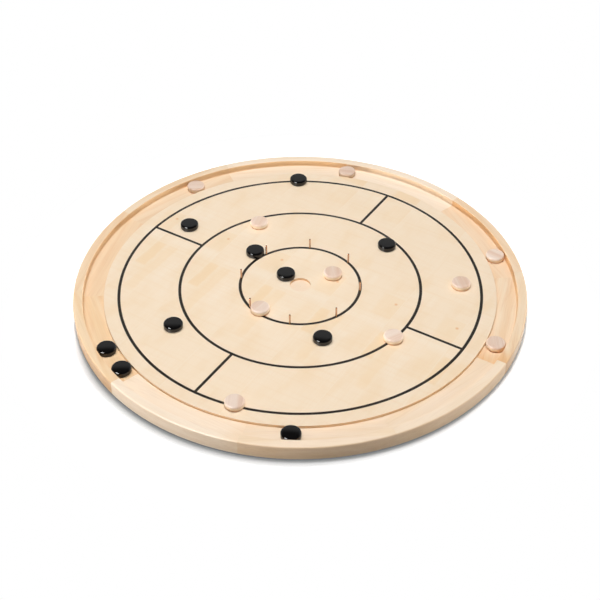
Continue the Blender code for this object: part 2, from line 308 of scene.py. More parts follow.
def round_circle(piece: Piece, corner: Corner) -> None:
    """Bevel, in edit mode, the circle that a profile's corner made.

    Args:
        piece: The turned piece.
        corner: The corner, with its rounding.
    """

    def on_circle(place: Vector) -> bool:
        """Say whether a place is on the corner's circle."""
        radius = math.hypot(place.x, place.y)
        return abs(radius - corner.radius) < TOUCH and abs(place.z - corner.height) < TOUCH

    choose(piece, Pick.EDGES, on_circle)
    bpy.ops.mesh.bevel(offset=corner.rounding, segments=corner.steps, affect="EDGES")


# Finishes


def linear(hex_colour: str) -> tuple[float, float, float, float]:
    """Turn an sRGB hex colour to linear light.

    Args:
        hex_colour: Six hex digits.

    Returns:
        Linear red, green and blue, with an alpha of 1.
    """
    values = [int(hex_colour[i : i + 2], 16) / 255 for i in (0, 2, 4)]
    curved = [v / 12.92 if v <= 0.04045 else ((v + 0.055) / 1.055) ** 2.4 for v in values]
    return (curved[0], curved[1], curved[2], 1.0)


def grey(level: float) -> tuple[float, float, float, float]:
    """Return the linear grey of a level, from 0 for black to 1 for white."""
    return (level, level, level, 1.0)


def add_node(
    tree: Tree,
    kind: str,
    sockets: Inputs | None = None,
    stops: Sequence[tuple[float, str]] = (),
    **settings: object,
) -> bpy.types.Node:
    """Add a shader node with its values and links, its colour stops and its settings.

    Args:
        tree: The node tree.
        kind: The node's type without the leading ShaderNode.
        sockets: For each input, a value or the output socket that feeds it.
        stops: Colour stops of a ramp, as place and sRGB hex.
        settings: Attributes of the node.

    Returns:
        The node.
    """
    node = tree.nodes.new("ShaderNode" + kind)
    for name, value in settings.items():
        setattr(node, name, value)
    for key, value in (sockets or {}).items():
        if isinstance(value, Socket):
            tree.links.new(value, node.inputs[key])
        else:
            node.inputs[key].default_value = value
    for index, (place, colour) in enumerate(stops):
        ramp = node.color_ramp.elements
        stop = ramp[index] if index < min(2, len(ramp)) else ramp.new(place)
        stop.position = place
        stop.color = linear(colour)
    return node


def new_tree(name: str) -> tuple[bpy.types.Material, Tree]:
    """Start a material.

    Args:
        name: The material's name.

    Returns:
        The material and its node tree, still empty.
    """
    material = bpy.data.materials.new(name)
    material.use_nodes = True
    material.node_tree.nodes.clear()
    return material, material.node_tree


@dataclass(frozen=True)
class Tint:
    """A tint with none of it at one value of a coordinate and its full strength at another."""

    none: float
    full: float
    strength: float
    colour: str
    blend: Blend = Blend.COVER

    def lay(self, tree: Tree, tone: Socket, coordinate: Socket) -> Socket:
        """Lay the tint over a colour.

        Args:
            tree: The node tree.
            tone: The colour.
            coordinate: What the tint's strength follows.

        Returns:
            The tinted colour.
        """
        span = {"Value": coordinate, "From Min": self.none, "From Max": self.full, "To Max": self.strength}
        part = add_node(tree, "MapRange", span, interpolation_type="SMOOTHSTEP").outputs[0]
        colours = {0: part, MIX_A: tone, MIX_B: linear(self.colour)}
        mix = add_node(tree, "Mix", colours, data_type="RGBA", blend_type=self.blend.value)
        return mix.outputs[MIX_OUT]


@dataclass(frozen=True)
class Finish:
    """A finish: one shader whose patterns lie on the piece's own places."""

    name: str

    def make(self) -> bpy.types.Material:
        """Make the finish's material.

        Returns:
            The material.
        """
        material, tree = new_tree(self.name)
        place = add_node(tree, "TexCoord").outputs["Object"]
        shader = add_node(tree, "BsdfPrincipled", self.surface(tree, place))
        add_node(tree, "OutputMaterial", {"Surface": shader.outputs[0]})
        return material

    def surface(self, tree: Tree, place: Socket) -> Inputs:
        """Draw the surface. Each finish has its own.

        Args:
            tree: The material's node tree.
            place: Places on the piece, in metres.

        Returns:
            The shader's inputs.
        """
        raise NotImplementedError


@dataclass(frozen=True)
class HardwoodFinish(Finish):
    """Maple or beech, planed or turned, sanded, and sealed with satin lacquer or left bare.

    Pale cream wood with fine brown grain lines that all run one way, broad warm streaks between
    them, and a soft sheen under lacquer. Upright faces are tinted amber, partly for lacquer uptake
    and partly as painted warm shade; a disc's side carries painted bounce light and its foot a
    painted contact shade.
    """

    pale: str
    warm: str
    grain_bearing: float
    centre: Vector
    streaks: float = 0.5
    blotches: float = 0.5
    heart: float = 0.0
    heart_colour: str = "dca36a"
    seed: float = 0.0
    wander: float = 0.008
    roughness: float = 0.40
    line_roughness: float = 0.06
    coat: float = 0.12
    line_depth: float = 0.10
    line_colour: str = "b98a5c"
    # Amber on the upright faces: partly lacquer uptake, partly painted warm shade
    wall_amber_and_shade: float = 0.0
    wall_amber_and_shade_tint: str = "f7dcb6"
    side_amber_and_shade: float = 0.0
    side_amber_and_shade_tint: str = "f7dcb6"
    start_amber: float = 0.0
    end_amber: float = 0.0
    end_tint: str = "fae3c0"
    end_reach: float = 0.035
    half_length: float = 0.112
    foot: float | None = None
    # The pale warm band is painted bounce light on the disc's side, the orange one painted contact shade at
    # its foot
    side_light_and_foot_shade_bands: tuple[Tint, ...] = (
        Tint(0.0073, 0.0058, 0.7, "f6e0bc"),
        Tint(0.0026, 0.0012, 0.95, "dd9750"),
    )

    def surface(self, tree: Tree, place: Socket) -> Inputs:
        """Draw the wood, with its grain turned to the piece.

        Args:
            tree: The material's node tree.
            place: Places on the piece, in metres.

        Returns:
            The shader's inputs.
        """
        centred = add_node(tree, "VectorMath", {0: place, 1: self.centre}, operation="SUBTRACT").outputs[0]
        turn = (0, 0, math.radians(-self.grain_bearing))
        offset = (self.seed, self.seed * 0.37, 0)
        shift = {"Vector": centred, "Rotation": turn, "Location": offset}
        along = add_node(tree, "Mapping", shift).outputs[0]
        # Slow wander of the grain, about 3 mm over 100 mm
        wander = add_node(tree, "TexNoise", {"Vector": along, "Scale": 9.0, "Detail": 1.0}).outputs["Color"]
        sway = {0: wander, 1: (0.0, self.wander, self.wander), 2: along}
        bent = add_node(tree, "VectorMath", sway, operation="MULTIPLY_ADD").outputs[0]
        # Growth rings cut nearly flat: streaks about 12 mm wide and 300 mm long
        drawn = add_node(tree, "Mapping", {"Vector": bent, "Scale": (3.0, 85.0, 85.0)}).outputs[0]
        broad = add_node(tree, "TexNoise", {"Vector": drawn, "Scale": 1.0, "Detail": 3.0}).outputs["Fac"]
        span = {"Value": broad, "From Min": 0.34, "From Max": 0.68}
        broad_part = add_node(tree, "MapRange", span, interpolation_type="SMOOTHSTEP").outputs[0]
        # Grain lines are about 0.8 mm apart, drawn 2 mm apart so that they show
        drawn = add_node(tree, "Mapping", {"Vector": bent, "Scale": (14.0, 520.0, 520.0)}).outputs[0]
        line = add_node(tree, "TexNoise", {"Vector": drawn, "Scale": 1.0, "Detail": 2.0}).outputs["Fac"]
        span = {"Value": line, "From Min": 0.50, "From Max": 0.72}
        line_part = add_node(tree, "MapRange", span, interpolation_type="SMOOTHSTEP").outputs[0]
        # Blotches of lacquer uptake, about 60 mm across
        blotch = add_node(tree, "TexNoise", {"Vector": along, "Scale": 16.0, "Detail": 2.0}).outputs["Fac"]
        spread = {0: blotch, 1: self.blotches, 2: -self.blotches / 2}
        uptake = add_node(tree, "Math", spread, operation="MULTIPLY_ADD").outputs[0]
        warmth = {0: broad_part, 1: self.streaks, 2: uptake}
        tone_part = add_node(tree, "Math", warmth, operation="MULTIPLY_ADD").outputs[0]
        colours = {0: tone_part, MIX_A: linear(self.pale), MIX_B: linear(self.warm)}
        tone = add_node(tree, "Mix", colours, data_type="RGBA", clamp_factor=True).outputs[MIX_OUT]
        if self.heart:
            tone = self._heartwood(tree, tone, bent)
        if self.start_amber or self.end_amber:
            tone = self._amber_ends(tree, tone, centred)
        if self.wall_amber_and_shade:
            tone = self._stain_and_shade_upright_faces(tree, tone, place)
        if self.foot is not None:
            tone = self._paint_side_light_and_foot_shade(tree, tone, place, self.foot)
        fine = add_node(tree, "Math", {0: line_part, 1: self.line_depth}, operation="MULTIPLY").outputs[0]
        colours = {0: fine, MIX_A: tone, MIX_B: linear(self.line_colour)}
        colour = add_node(tree, "Mix", colours, data_type="RGBA", blend_type="MULTIPLY").outputs[MIX_OUT]
        dulling = {0: line_part, 1: self.line_roughness, 2: self.roughness}
        rough = add_node(tree, "Math", dulling, operation="MULTIPLY_ADD").outputs[0]
        bump = add_node(tree, "Bump", {"Height": line, "Strength": 0.15, "Distance": 0.0001}).outputs[0]
        return {
            "Base Color": colour,
            "Roughness": rough,
            "IOR": 1.5,
            "Coat Weight": self.coat,
            "Coat Roughness": 0.25,
            "Normal": bump,
        }

    def _heartwood(self, tree: Tree, tone: Socket, bent: Socket) -> Socket:
        """Lay orange heartwood streaks, about 25 mm wide, over the wood.

        Args:
            tree: The material's node tree.
            tone: The wood's colour.
            bent: Places along the wandering grain.

        Returns:
            The colour with the streaks.
        """
        drawn = add_node(tree, "Mapping", {"Vector": bent, "Scale": (7.0, 42.0, 42.0)}).outputs[0]
        look = {"Vector": drawn, "Scale": 1.0, "Detail": 4.0, "Distortion": 0.6}
        streak = add_node(tree, "TexNoise", look).outputs["Fac"]
        return Tint(0.52, 0.72, self.heart, self.heart_colour).lay(tree, tone, streak)

    def _amber_ends(self, tree: Tree, tone: Socket, centred: Socket) -> Socket:
        """Stain the last stretch before a glued joint, where the lacquer is amber.

        Args:
            tree: The material's node tree.
            tone: The wood's colour.
            centred: Places from the piece's middle.

        Returns:
            The colour with the stained ends.
        """
        ahead = {0: centred, 1: polar(1.0, self.grain_bearing)}
        reach = add_node(tree, "VectorMath", ahead, operation="DOT_PRODUCT").outputs["Value"]
        for side, strength in ((-1.0, self.start_amber), (1.0, self.end_amber)):
            inside = side * (self.half_length - self.end_reach)
            outside = side * self.half_length
            tone = Tint(inside, outside, strength, self.end_tint, Blend.STAIN).lay(tree, tone, reach)
        return tone

    def _stain_and_shade_upright_faces(self, tree: Tree, tone: Socket, place: Socket) -> Socket:
        """Stain the routed wall and the outer side amber, with painted shade.

        End grain on the upright faces drinks more lacquer than the planed top does. The same amber also
        stands in for the warm shade and bounce light on these faces, as painted shade.

        Args:
            tree: The material's node tree.
            tone: The wood's colour.
            place: Places on the piece.

        Returns:
            The colour with the stained faces.
        """
        facing = add_node(tree, "TexCoord").outputs["Normal"]
        back = {0: place, 1: (-1.0, -1.0, 0.0)}
        level = add_node(tree, "VectorMath", back, operation="MULTIPLY").outputs[0]
        inward = add_node(tree, "VectorMath", {0: level}, operation="NORMALIZE").outputs[0]
        sides = {0: facing, 1: inward}
        toward = add_node(tree, "VectorMath", sides, operation="DOT_PRODUCT").outputs["Value"]
        # Painted warm shade on the inner wall and the outer side, together with the lacquer's amber
        for upright_tint in (
            Tint(0.25, 0.95, self.wall_amber_and_shade, self.wall_amber_and_shade_tint, Blend.STAIN),
            Tint(-0.25, -0.95, self.side_amber_and_shade, self.side_amber_and_shade_tint, Blend.STAIN),
        ):
            tone = upright_tint.lay(tree, tone, toward)
        return tone

    def _paint_side_light_and_foot_shade(self, tree: Tree, tone: Socket, place: Socket, foot: float) -> Socket:
        """Paint warm bounce light on a disc's side, and orange contact shade along its lower edge.

        Args:
            tree: The material's node tree.
            tone: The wood's colour.
            place: Places on the piece.
            foot: Height of the disc's foot.

        Returns:
            The colour with the bands round the foot.
        """
        height = add_node(tree, "SeparateXYZ", {0: place}).outputs["Z"]
        for band in self.side_light_and_foot_shade_bands:
            tone = replace(band, none=foot + band.none, full=foot + band.full).lay(tree, tone, height)
        return tone


@dataclass(frozen=True)
class FigurePatch:
    """A soft-edged patch of the veneer's figure, on one leaf.

    Start and end run along the leaf and top and bottom across it, in metres; the edge values are
    how soft the ends and the sides are.
    """

    start: float
    end: float
    top: float
    bottom: float
    strength: float
    end_edge: float = 0.012
    side_edge: float = 0.010
    far_edge_most: float = 0.006
    pale: bool = False

    def draw(self, tree: Tree, along: Socket, across: Socket) -> Socket:
        """Work out how strongly the patch shows.

        Args:
            tree: The veneer's node tree.
            along: Distance along the leaf.
            across: Distance across the leaf.

        Returns:
            From 0 outside the patch to its strength inside.
        """
        product: Socket | float = self.strength
        for coordinate, outside, inside in (
            (along, self.start, self.start + self.end_edge),
            (along, self.end, self.end - min(self.end_edge, self.far_edge_most)),
            (across, self.top, self.top + self.side_edge),
            (across, self.bottom, self.bottom - self.side_edge * 0.5),
        ):
            span = {"Value": coordinate, "From Min": outside, "From Max": inside}
            edge = add_node(tree, "MapRange", span, interpolation_type="SMOOTHSTEP").outputs[0]
            product = add_node(tree, "Math", {0: product, 1: edge}, operation="MULTIPLY").outputs[0]
        return product


@dataclass(frozen=True)
class VeneerFinish(Finish):
    """Rotary-cut maple veneer in slip-matched leaves, laid edge to edge on plywood and lacquered.

    Every leaf carries the same pale figure, so its warm patches, cross ripple and pin knot come
    again leaf after leaf, with a thin pale line where two leaves meet.
    """

    name: str = "maple_veneer_lacquered"
    base: str = "f8e3c8"
    warm: str = "f3cf9b"
    light: str = "fdf1e0"
    grain: str = "f0cfa2"
    knot: Tint = Tint(0.0042, 0.00084, 0.75, "e9b277")
    knot_place: tuple[float, float, float] = (0.040, 0.1030, 0.0)
    joint_line: Tint = Tint(0.0012, 0.0002, 0.18, "fdf1e0")
    sway: float = 0.012
    leaf_bearing: float = 45.0
    leaf_width: float = 0.1125
    first_joint: float = 0.0530
    roughness: float = 0.34
    line_roughness: float = 0.05
    coat: float = 0.15
    patches: tuple[FigurePatch, ...] = (
        FigurePatch(-0.100, -0.028, -0.004, 0.024, 0.40, end_edge=0.006),
        FigurePatch(-0.170, -0.028, 0.022, 0.047, 0.23, end_edge=0.016),
        FigurePatch(-0.048, -0.029, -0.004, 0.022, 0.21, end_edge=0.005),
        FigurePatch(0.000, 0.059, 0.070, 0.120, 0.20, end_edge=0.004),
        FigurePatch(-0.090, -0.026, 0.080, 0.120, 0.11, end_edge=0.010),
        FigurePatch(0.232, 0.290, 0.070, 0.120, 0.13),
        FigurePatch(0.303, 0.360, 0.058, 0.120, 0.40, end_edge=0.006),
        FigurePatch(0.096, 0.120, -0.010, 0.016, 0.11),
        FigurePatch(-0.135, -0.060, 0.050, 0.074, 0.19, end_edge=0.030, pale=True),
        FigurePatch(-0.170, -0.100, 0.080, 0.112, 0.12, end_edge=0.030, pale=True),
        FigurePatch(-0.025, 0.000, 0.018, 0.116, 0.19, end_edge=0.005, pale=True),
        FigurePatch(0.058, 0.096, -0.010, 0.046, 0.17, end_edge=0.008, pale=True),
        FigurePatch(0.276, 0.300, -0.010, 0.045, 0.14, end_edge=0.006, pale=True),
        FigurePatch(-0.250, -0.175, 0.000, 0.020, 0.08, end_edge=0.030, pale=True),
    )

    def surface(self, tree: Tree, place: Socket) -> Inputs:
        """Draw the leaves, their figure, their grain and the joints between them.

        Args:
            tree: The material's node tree.
            place: Places on the panel, in metres.

        Returns:
            The shader's inputs.
        """
        turn = (0, 0, math.radians(-self.leaf_bearing))
        turned = add_node(tree, "Mapping", {"Vector": place, "Rotation": turn}).outputs[0]
        split = add_node(tree, "SeparateXYZ", {0: turned})
        along = split.outputs["X"]
        # Distance below the joint at the top of each leaf
        offset = {0: self.first_joint, 1: split.outputs["Y"]}
        below = add_node(tree, "Math", offset, operation="SUBTRACT").outputs[0]
        leaves = {0: below, 1: self.leaf_width}
        down = add_node(tree, "Math", leaves, operation="FLOORED_MODULO").outputs[0]
        count = add_node(tree, "Math", leaves, operation="DIVIDE").outputs[0]
        number = add_node(tree, "Math", {0: count}, operation="FLOOR").outputs[0]
        # The figure wanders a little from leaf to leaf, so the third axis is the leaf's number
        leaf_place = add_node(tree, "CombineXYZ", {0: along, 1: down, 2: number}).outputs[0]
        colour = self._figure(tree, leaf_place, along, down)
        line, colour = self._grain(tree, leaf_place, colour)
        # The line between two leaves is 0.5 mm wide, drawn 1.2 mm
        fold = {0: down, 1: self.leaf_width / 2}
        centred = add_node(tree, "Math", fold, operation="PINGPONG").outputs[0]
        colour = self.joint_line.lay(tree, colour, centred)
        bump = add_node(tree, "Bump", {"Height": line, "Strength": 0.10, "Distance": 0.00008}).outputs[0]
        dulling = {0: line, 1: self.line_roughness, 2: self.roughness}
        rough = add_node(tree, "Math", dulling, operation="MULTIPLY_ADD").outputs[0]
        return {
            "Base Color": colour,
            "Roughness": rough,
            "IOR": 1.5,
            "Coat Weight": self.coat,
            "Coat Roughness": 0.18,
            "Normal": bump,
        }

    def _figure(self, tree: Tree, leaf_place: Socket, along: Socket, down: Socket) -> Socket:
        """Draw the leaf's broad figure: warm and pale patches on the base, and the pin knot.

        Args:
            tree: The material's node tree.
            leaf_place: Places on a leaf, with its number as the third axis.
            along: Distance along the leaf.
            down: Distance below the leaf's upper joint.

        Returns:
            The figure's colour.
        """
        # The patches' edges sway by 6 mm to each side, over about 40 mm
        drawn = add_node(tree, "Mapping", {"Vector": leaf_place, "Scale": (26.0, 26.0, 0.15)}).outputs[0]
        wobble = add_node(tree, "TexNoise", {"Vector": drawn, "Scale": 1.0, "Detail": 2.0}).outputs["Fac"]
        spread = {0: wobble, 1: self.sway, 2: -self.sway / 2}
        sway = add_node(tree, "Math", spread, operation="MULTIPLY_ADD").outputs[0]
        across = add_node(tree, "Math", {0: down, 1: sway}, operation="ADD").outputs[0]
        colour: Socket | tuple[float, ...] = linear(self.base)
        for pale, tint in ((False, self.warm), (True, self.light)):
            share: Socket | float = 0.0
            for patch in self.patches:
                if patch.pale is pale:
                    both = {0: share, 1: patch.draw(tree, along, across)}
                    share = add_node(tree, "Math", both, operation="MAXIMUM").outputs[0]
            colours = {0: share, MIX_A: colour, MIX_B: linear(tint)}
            colour = add_node(tree, "Mix", colours, data_type="RGBA").outputs[MIX_OUT]
        flat = add_node(tree, "CombineXYZ", {0: along, 1: down}).outputs[0]
        ends = {0: flat, 1: self.knot_place}
        gap = add_node(tree, "VectorMath", ends, operation="DISTANCE").outputs["Value"]
        return self.knot.lay(tree, colour, gap)

    def _grain(self, tree: Tree, leaf_place: Socket, colour: Socket) -> tuple[Socket, Socket]:
        """Draw the fine figure that the patches lie under.

        The grain lines along the leaf are about 1 mm apart, drawn 2 mm apart so that they show. The
        ripple across it, from the peeling knife, is about 5 mm apart, and the slow change of tone
        from edge to edge about 50 mm across.

        Args:
            tree: The material's node tree.
            leaf_place: Places on a leaf, with its number as the third axis.
            colour: The colour of the broad figure.

        Returns:
            The grain lines' height, and the colour with the fine figure.
        """
        heights = []
        for scale, detail, strength in (
            ((9.0, 520.0, 0.2), 3.0, 0.14),
            ((190.0, 9.0, 0.2), 2.0, 0.18),
            ((14.0, 28.0, 0.1), 2.0, 0.32),
        ):
            drawn = add_node(tree, "Mapping", {"Vector": leaf_place, "Scale": scale}).outputs[0]
            look = {"Vector": drawn, "Scale": 1.0, "Detail": detail}
            heights.append(add_node(tree, "TexNoise", look).outputs["Fac"])
            colour = Tint(0.42, 0.78, strength, self.grain).lay(tree, colour, heights[-1])
        return heights[0], colour


@dataclass(frozen=True)
class InkFinish(Finish):
    """Black ink, screen printed on the veneer and lacquered over: dense, slightly warm black lines."""

    name: str = "screen_printed_ink_lacquered"
    thick: str = "1a130c"
    thin: str = "261c12"
    roughness: float = 0.34
    film_roughness: float = 0.1

    def surface(self, tree: Tree, place: Socket) -> Inputs:
        """Draw the ink film.

        Args:
            tree: The material's node tree.
            place: Places on the panel, in metres.

        Returns:
            The shader's inputs.
        """
        # Slightly uneven ink film, patches about 4 mm across
        film = add_node(tree, "TexNoise", {"Vector": place, "Scale": 250.0, "Detail": 2.0}).outputs["Fac"]
        stops = ((0.3, self.thick), (0.8, self.thin))
        colour = add_node(tree, "ValToRGB", {0: film}, stops).outputs[0]
        dulling = {0: film, 1: self.film_roughness, 2: self.roughness}
        rough = add_node(tree, "Math", dulling, operation="MULTIPLY_ADD").outputs[0]
        return {"Base Color": colour, "Roughness": rough, "IOR": 1.5}


@dataclass(frozen=True)
class PlyEdgeFinish(Finish):
    """Birch plywood cut across its plies and sealed: thin pale and brown bands, one above the other."""

    name: str = "birch_plywood_cut_edge"
    ply: float = 0.00133
    # Both colours are lighter than the bare plies: painted light on the cut edges, which sit low beside the
    # ditch and in the hole
    pale: str = "fee6c2"
    dark: str = "f3bf85"

    def surface(self, tree: Tree, place: Socket) -> Inputs:
        """Draw the cut plies.

        Args:
            tree: The material's node tree.
            place: Places on the panel, in metres.

        Returns:
            The shader's inputs.
        """
        height = add_node(tree, "SeparateXYZ", {0: place}).outputs["Z"]
        layer = add_node(tree, "Math", {0: height, 1: self.ply}, operation="PINGPONG").outputs[0]
        span = {"Value": layer, "From Min": self.ply * 0.42, "From Max": self.ply * 0.58}
        part = add_node(tree, "MapRange", span, interpolation_type="SMOOTHSTEP").outputs[0]
        # Cut fibres are about 0.3 mm apart, drawn 1.4 mm apart so that they show
        fibre = add_node(tree, "TexNoise", {"Vector": place, "Scale": 700.0, "Detail": 2.0}).outputs["Fac"]
        tone = add_node(tree, "Math", {0: fibre, 1: 0.5, 2: -0.25}, operation="MULTIPLY_ADD").outputs[0]
        tone = add_node(tree, "Math", {0: tone, 1: part}, operation="ADD", use_clamp=True).outputs[0]
        colours = {0: tone, MIX_A: linear(self.pale), MIX_B: linear(self.dark)}
        colour = add_node(tree, "Mix", colours, data_type="RGBA").outputs[MIX_OUT]
        bump = add_node(tree, "Bump", {"Height": fibre, "Strength": 0.3, "Distance": 0.0001}).outputs[0]
        return {"Base Color": colour, "Roughness": 0.55, "IOR": 1.5, "Normal": bump}


@dataclass(frozen=True)
class InnerPlyFinish(Finish):
    """Bare birch ply, on the centre hole's floor and below the panel: pinkish, with cutter rings."""

    name: str = "birch_inner_ply_bored"
    base: str = "f8e4ce"
    warm: str = "f3d8ba"
    grain_turn: float = 45.0

    def surface(self, tree: Tree, place: Socket) -> Inputs:
        """Draw the bare ply.

        Args:
            tree: The material's node tree.
            place: Places on the panel, in metres.

        Returns:
            The shader's inputs.
        """
        # This ply's grain runs square to the face veneer's, with lines 1.4 mm apart
        turn = (0, 0, math.radians(self.grain_turn))
        look = {"Vector": place, "Rotation": turn, "Scale": (30.0, 700.0, 1.0)}
        turned = add_node(tree, "Mapping", look).outputs[0]
        grain = add_node(tree, "TexNoise", {"Vector": turned, "Scale": 1.0, "Detail": 3.0}).outputs["Fac"]
        colours = {0: grain, MIX_A: linear(self.base), MIX_B: linear(self.warm)}
        colour = add_node(tree, "Mix", colours, data_type="RGBA").outputs[MIX_OUT]
        # Rings of the bit, about 1 mm apart
        look = {"Vector": place, "Scale": 300.0, "Distortion": 0.4, "Detail": 1.0}
        rings = add_node(tree, "TexWave", look, wave_type="RINGS", rings_direction="Z").outputs["Fac"]
        bump = add_node(tree, "Bump", {"Height": rings, "Strength": 0.15, "Distance": 0.0001}).outputs[0]
        return {"Base Color": colour, "Roughness": 0.5, "IOR": 1.5, "Normal": bump}


@dataclass(frozen=True)
class PlatedSteelFinish(Finish):
    """Steel, drawn or turned and plated: bright metal with fine marks round its axis."""

    colour: str
    roughness: float
    mark_spacing: float = 0.0006
    mark_roughness: float = 0.12

    def surface(self, tree: Tree, place: Socket) -> Inputs:
        """Draw the plated metal.

        Args:
            tree: The material's node tree.
            place: Places on the piece, in metres.

        Returns:
            The shader's inputs.
        """
        # Real marks are about 0.1 mm apart, drawn coarser so that they show
        scale = (120.0, 120.0, 1.0 / self.mark_spacing)
        drawn = add_node(tree, "Mapping", {"Vector": place, "Scale": scale}).outputs[0]
        marks = add_node(tree, "TexNoise", {"Vector": drawn, "Scale": 1.0, "Detail": 2.0}).outputs["Fac"]
        dulling = {0: marks, 1: self.mark_roughness, 2: self.roughness - self.mark_roughness / 2}
        rough = add_node(tree, "Math", dulling, operation="MULTIPLY_ADD").outputs[0]
        bump = add_node(tree, "Bump", {"Height": marks, "Strength": 0.1, "Distance": 0.00005}).outputs[0]
        return {"Base Color": linear(self.colour), "Metallic": 1.0, "Roughness": rough, "Normal": bump}


@dataclass(frozen=True)
class FeltFinish(Finish):
    """Pressed wool felt: dull dark grey with a fuzzy, mottled face."""

    name: str = "pressed_wool_felt"
    base: str = "5b5955"
    light: str = "7a7771"

    def surface(self, tree: Tree, place: Socket) -> Inputs:
        """Draw the felt.

        Args:
            tree: The material's node tree.
            place: Places on the pad, in metres.

        Returns:
            The shader's inputs.
        """
        # Fibre tufts about 0.5 mm across
        look = {"Vector": place, "Scale": 2000.0, "Detail": 4.0, "Distortion": 1.0}
        tuft = add_node(tree, "TexNoise", look).outputs["Fac"]
        colours = {0: tuft, MIX_A: linear(self.base), MIX_B: linear(self.light)}
        colour = add_node(tree, "Mix", colours, data_type="RGBA").outputs[MIX_OUT]
        bump = add_node(tree, "Bump", {"Height": tuft, "Strength": 0.6, "Distance": 0.0003}).outputs[0]
        return {
            "Base Color": colour,
            "Roughness": 0.95,
            "Sheen Weight": 0.4,
            "Sheen Roughness": 0.5,
            "Normal": bump,
        }


@dataclass(frozen=True)
class BlackLacquerFinish(Finish):
    """Turned wood under gloss black lacquer: deep black with sharp highlights and faint ripple."""

    name: str = "gloss_black_lacquer"
    colour: str = "0c0b0b"
    roughness: float = 0.05
    ripple_roughness: float = 0.03

    def surface(self, tree: Tree, place: Socket) -> Inputs:
        """Draw the lacquer.

        Args:
            tree: The material's node tree.
            place: Places on the disc, in metres.

        Returns:
            The shader's inputs.
        """
        # Ripple of the dried lacquer, about 3 mm across
        ripple = add_node(tree, "TexNoise", {"Vector": place, "Scale": 330.0, "Detail": 1.0}).outputs["Fac"]
        dulling = {0: ripple, 1: self.ripple_roughness, 2: self.roughness}
        rough = add_node(tree, "Math", dulling, operation="MULTIPLY_ADD").outputs[0]
        bump = add_node(tree, "Bump", {"Height": ripple, "Strength": 0.06, "Distance": 0.0001}).outputs[0]
        return {"Base Color": linear(self.colour), "Roughness": rough, "IOR": 1.5, "Normal": bump}


# Camera, lights and floor


@dataclass(frozen=True)
class PhotoCamera:
    """The photograph's camera: where it stands, what it looks at and its lens."""

    azimuth: float = -12.9
    elevation: float = 40.3113
    distance: float = 2.0441
    aim_right: float = 0.00043
    aim_back: float = -0.04170
    aim_height: float = 0.0208
    roll: float = -0.0581
    lens: float = 73.6525
    sensor_width: float = 36.0
    half_pixel: float = 0.5 / 600

    def place(self) -> None:
        """Add the camera and make it the scene's."""
        turn = math.radians(self.azimuth)
        rise = math.radians(self.elevation)
        right = Vector((math.cos(turn), math.sin(turn), 0.0))
        back = Vector((math.sin(turn) * math.cos(rise), -math.cos(turn) * math.cos(rise), math.sin(rise)))
        ahead = Vector((-math.sin(turn), math.cos(turn), 0.0))
        aim = right * self.aim_right + ahead * self.aim_back + Vector((0.0, 0.0, self.aim_height))
        up = back.cross(right)
        roll = math.radians(self.roll)
        rolled_right = right * math.cos(roll) + up * math.sin(roll)
        rolled_up = up * math.cos(roll) - right * math.sin(roll)
        axes = Matrix((rolled_right, rolled_up, back)).transposed()
        deselect_all()
        bpy.ops.object.camera_add(location=aim + back * self.distance, rotation=axes.to_euler())
        camera = bpy.context.object
        camera.name = "photo_camera"
        camera.data.lens = self.lens
        camera.data.sensor_width = self.sensor_width
        camera.data.shift_x = -self.half_pixel
        camera.data.shift_y = self.half_pixel
        bpy.context.scene.camera = camera


@dataclass(frozen=True)
class SoftBox:
    """A soft studio lamp turned to the board's middle.

    The share is the part of the plain light level that it gives a level face there. A lamp that
    isn't mirrored shows in no gloss, as one behind a dark grid, and one that isn't lighting shows
    only in gloss.
    """

    name: str
    bearing: float
    elevation: float
    distance: float
    width: float
    height: float
    share: float
    mirrored: bool = False
    lighting: bool = True

    def hang(self) -> None:
        """Add the lamp."""
        rise = math.radians(self.elevation)
        toward = polar(math.cos(rise), self.bearing, math.sin(rise))
        turn = (-toward).to_track_quat("-Z", "Y").to_euler()
        deselect_all()
        bpy.ops.object.light_add(type="AREA", location=toward * self.distance, rotation=turn)
        lamp = bpy.context.object
        lamp.name = self.name
        lamp.data.shape = "RECTANGLE"
        lamp.data.size = self.width
        lamp.data.size_y = self.height
        lamp.data.energy = self.share * math.pi**2 * self.distance**2 / math.sin(rise)
        lamp.visible_glossy = self.mirrored
        lamp.visible_diffuse = self.lighting


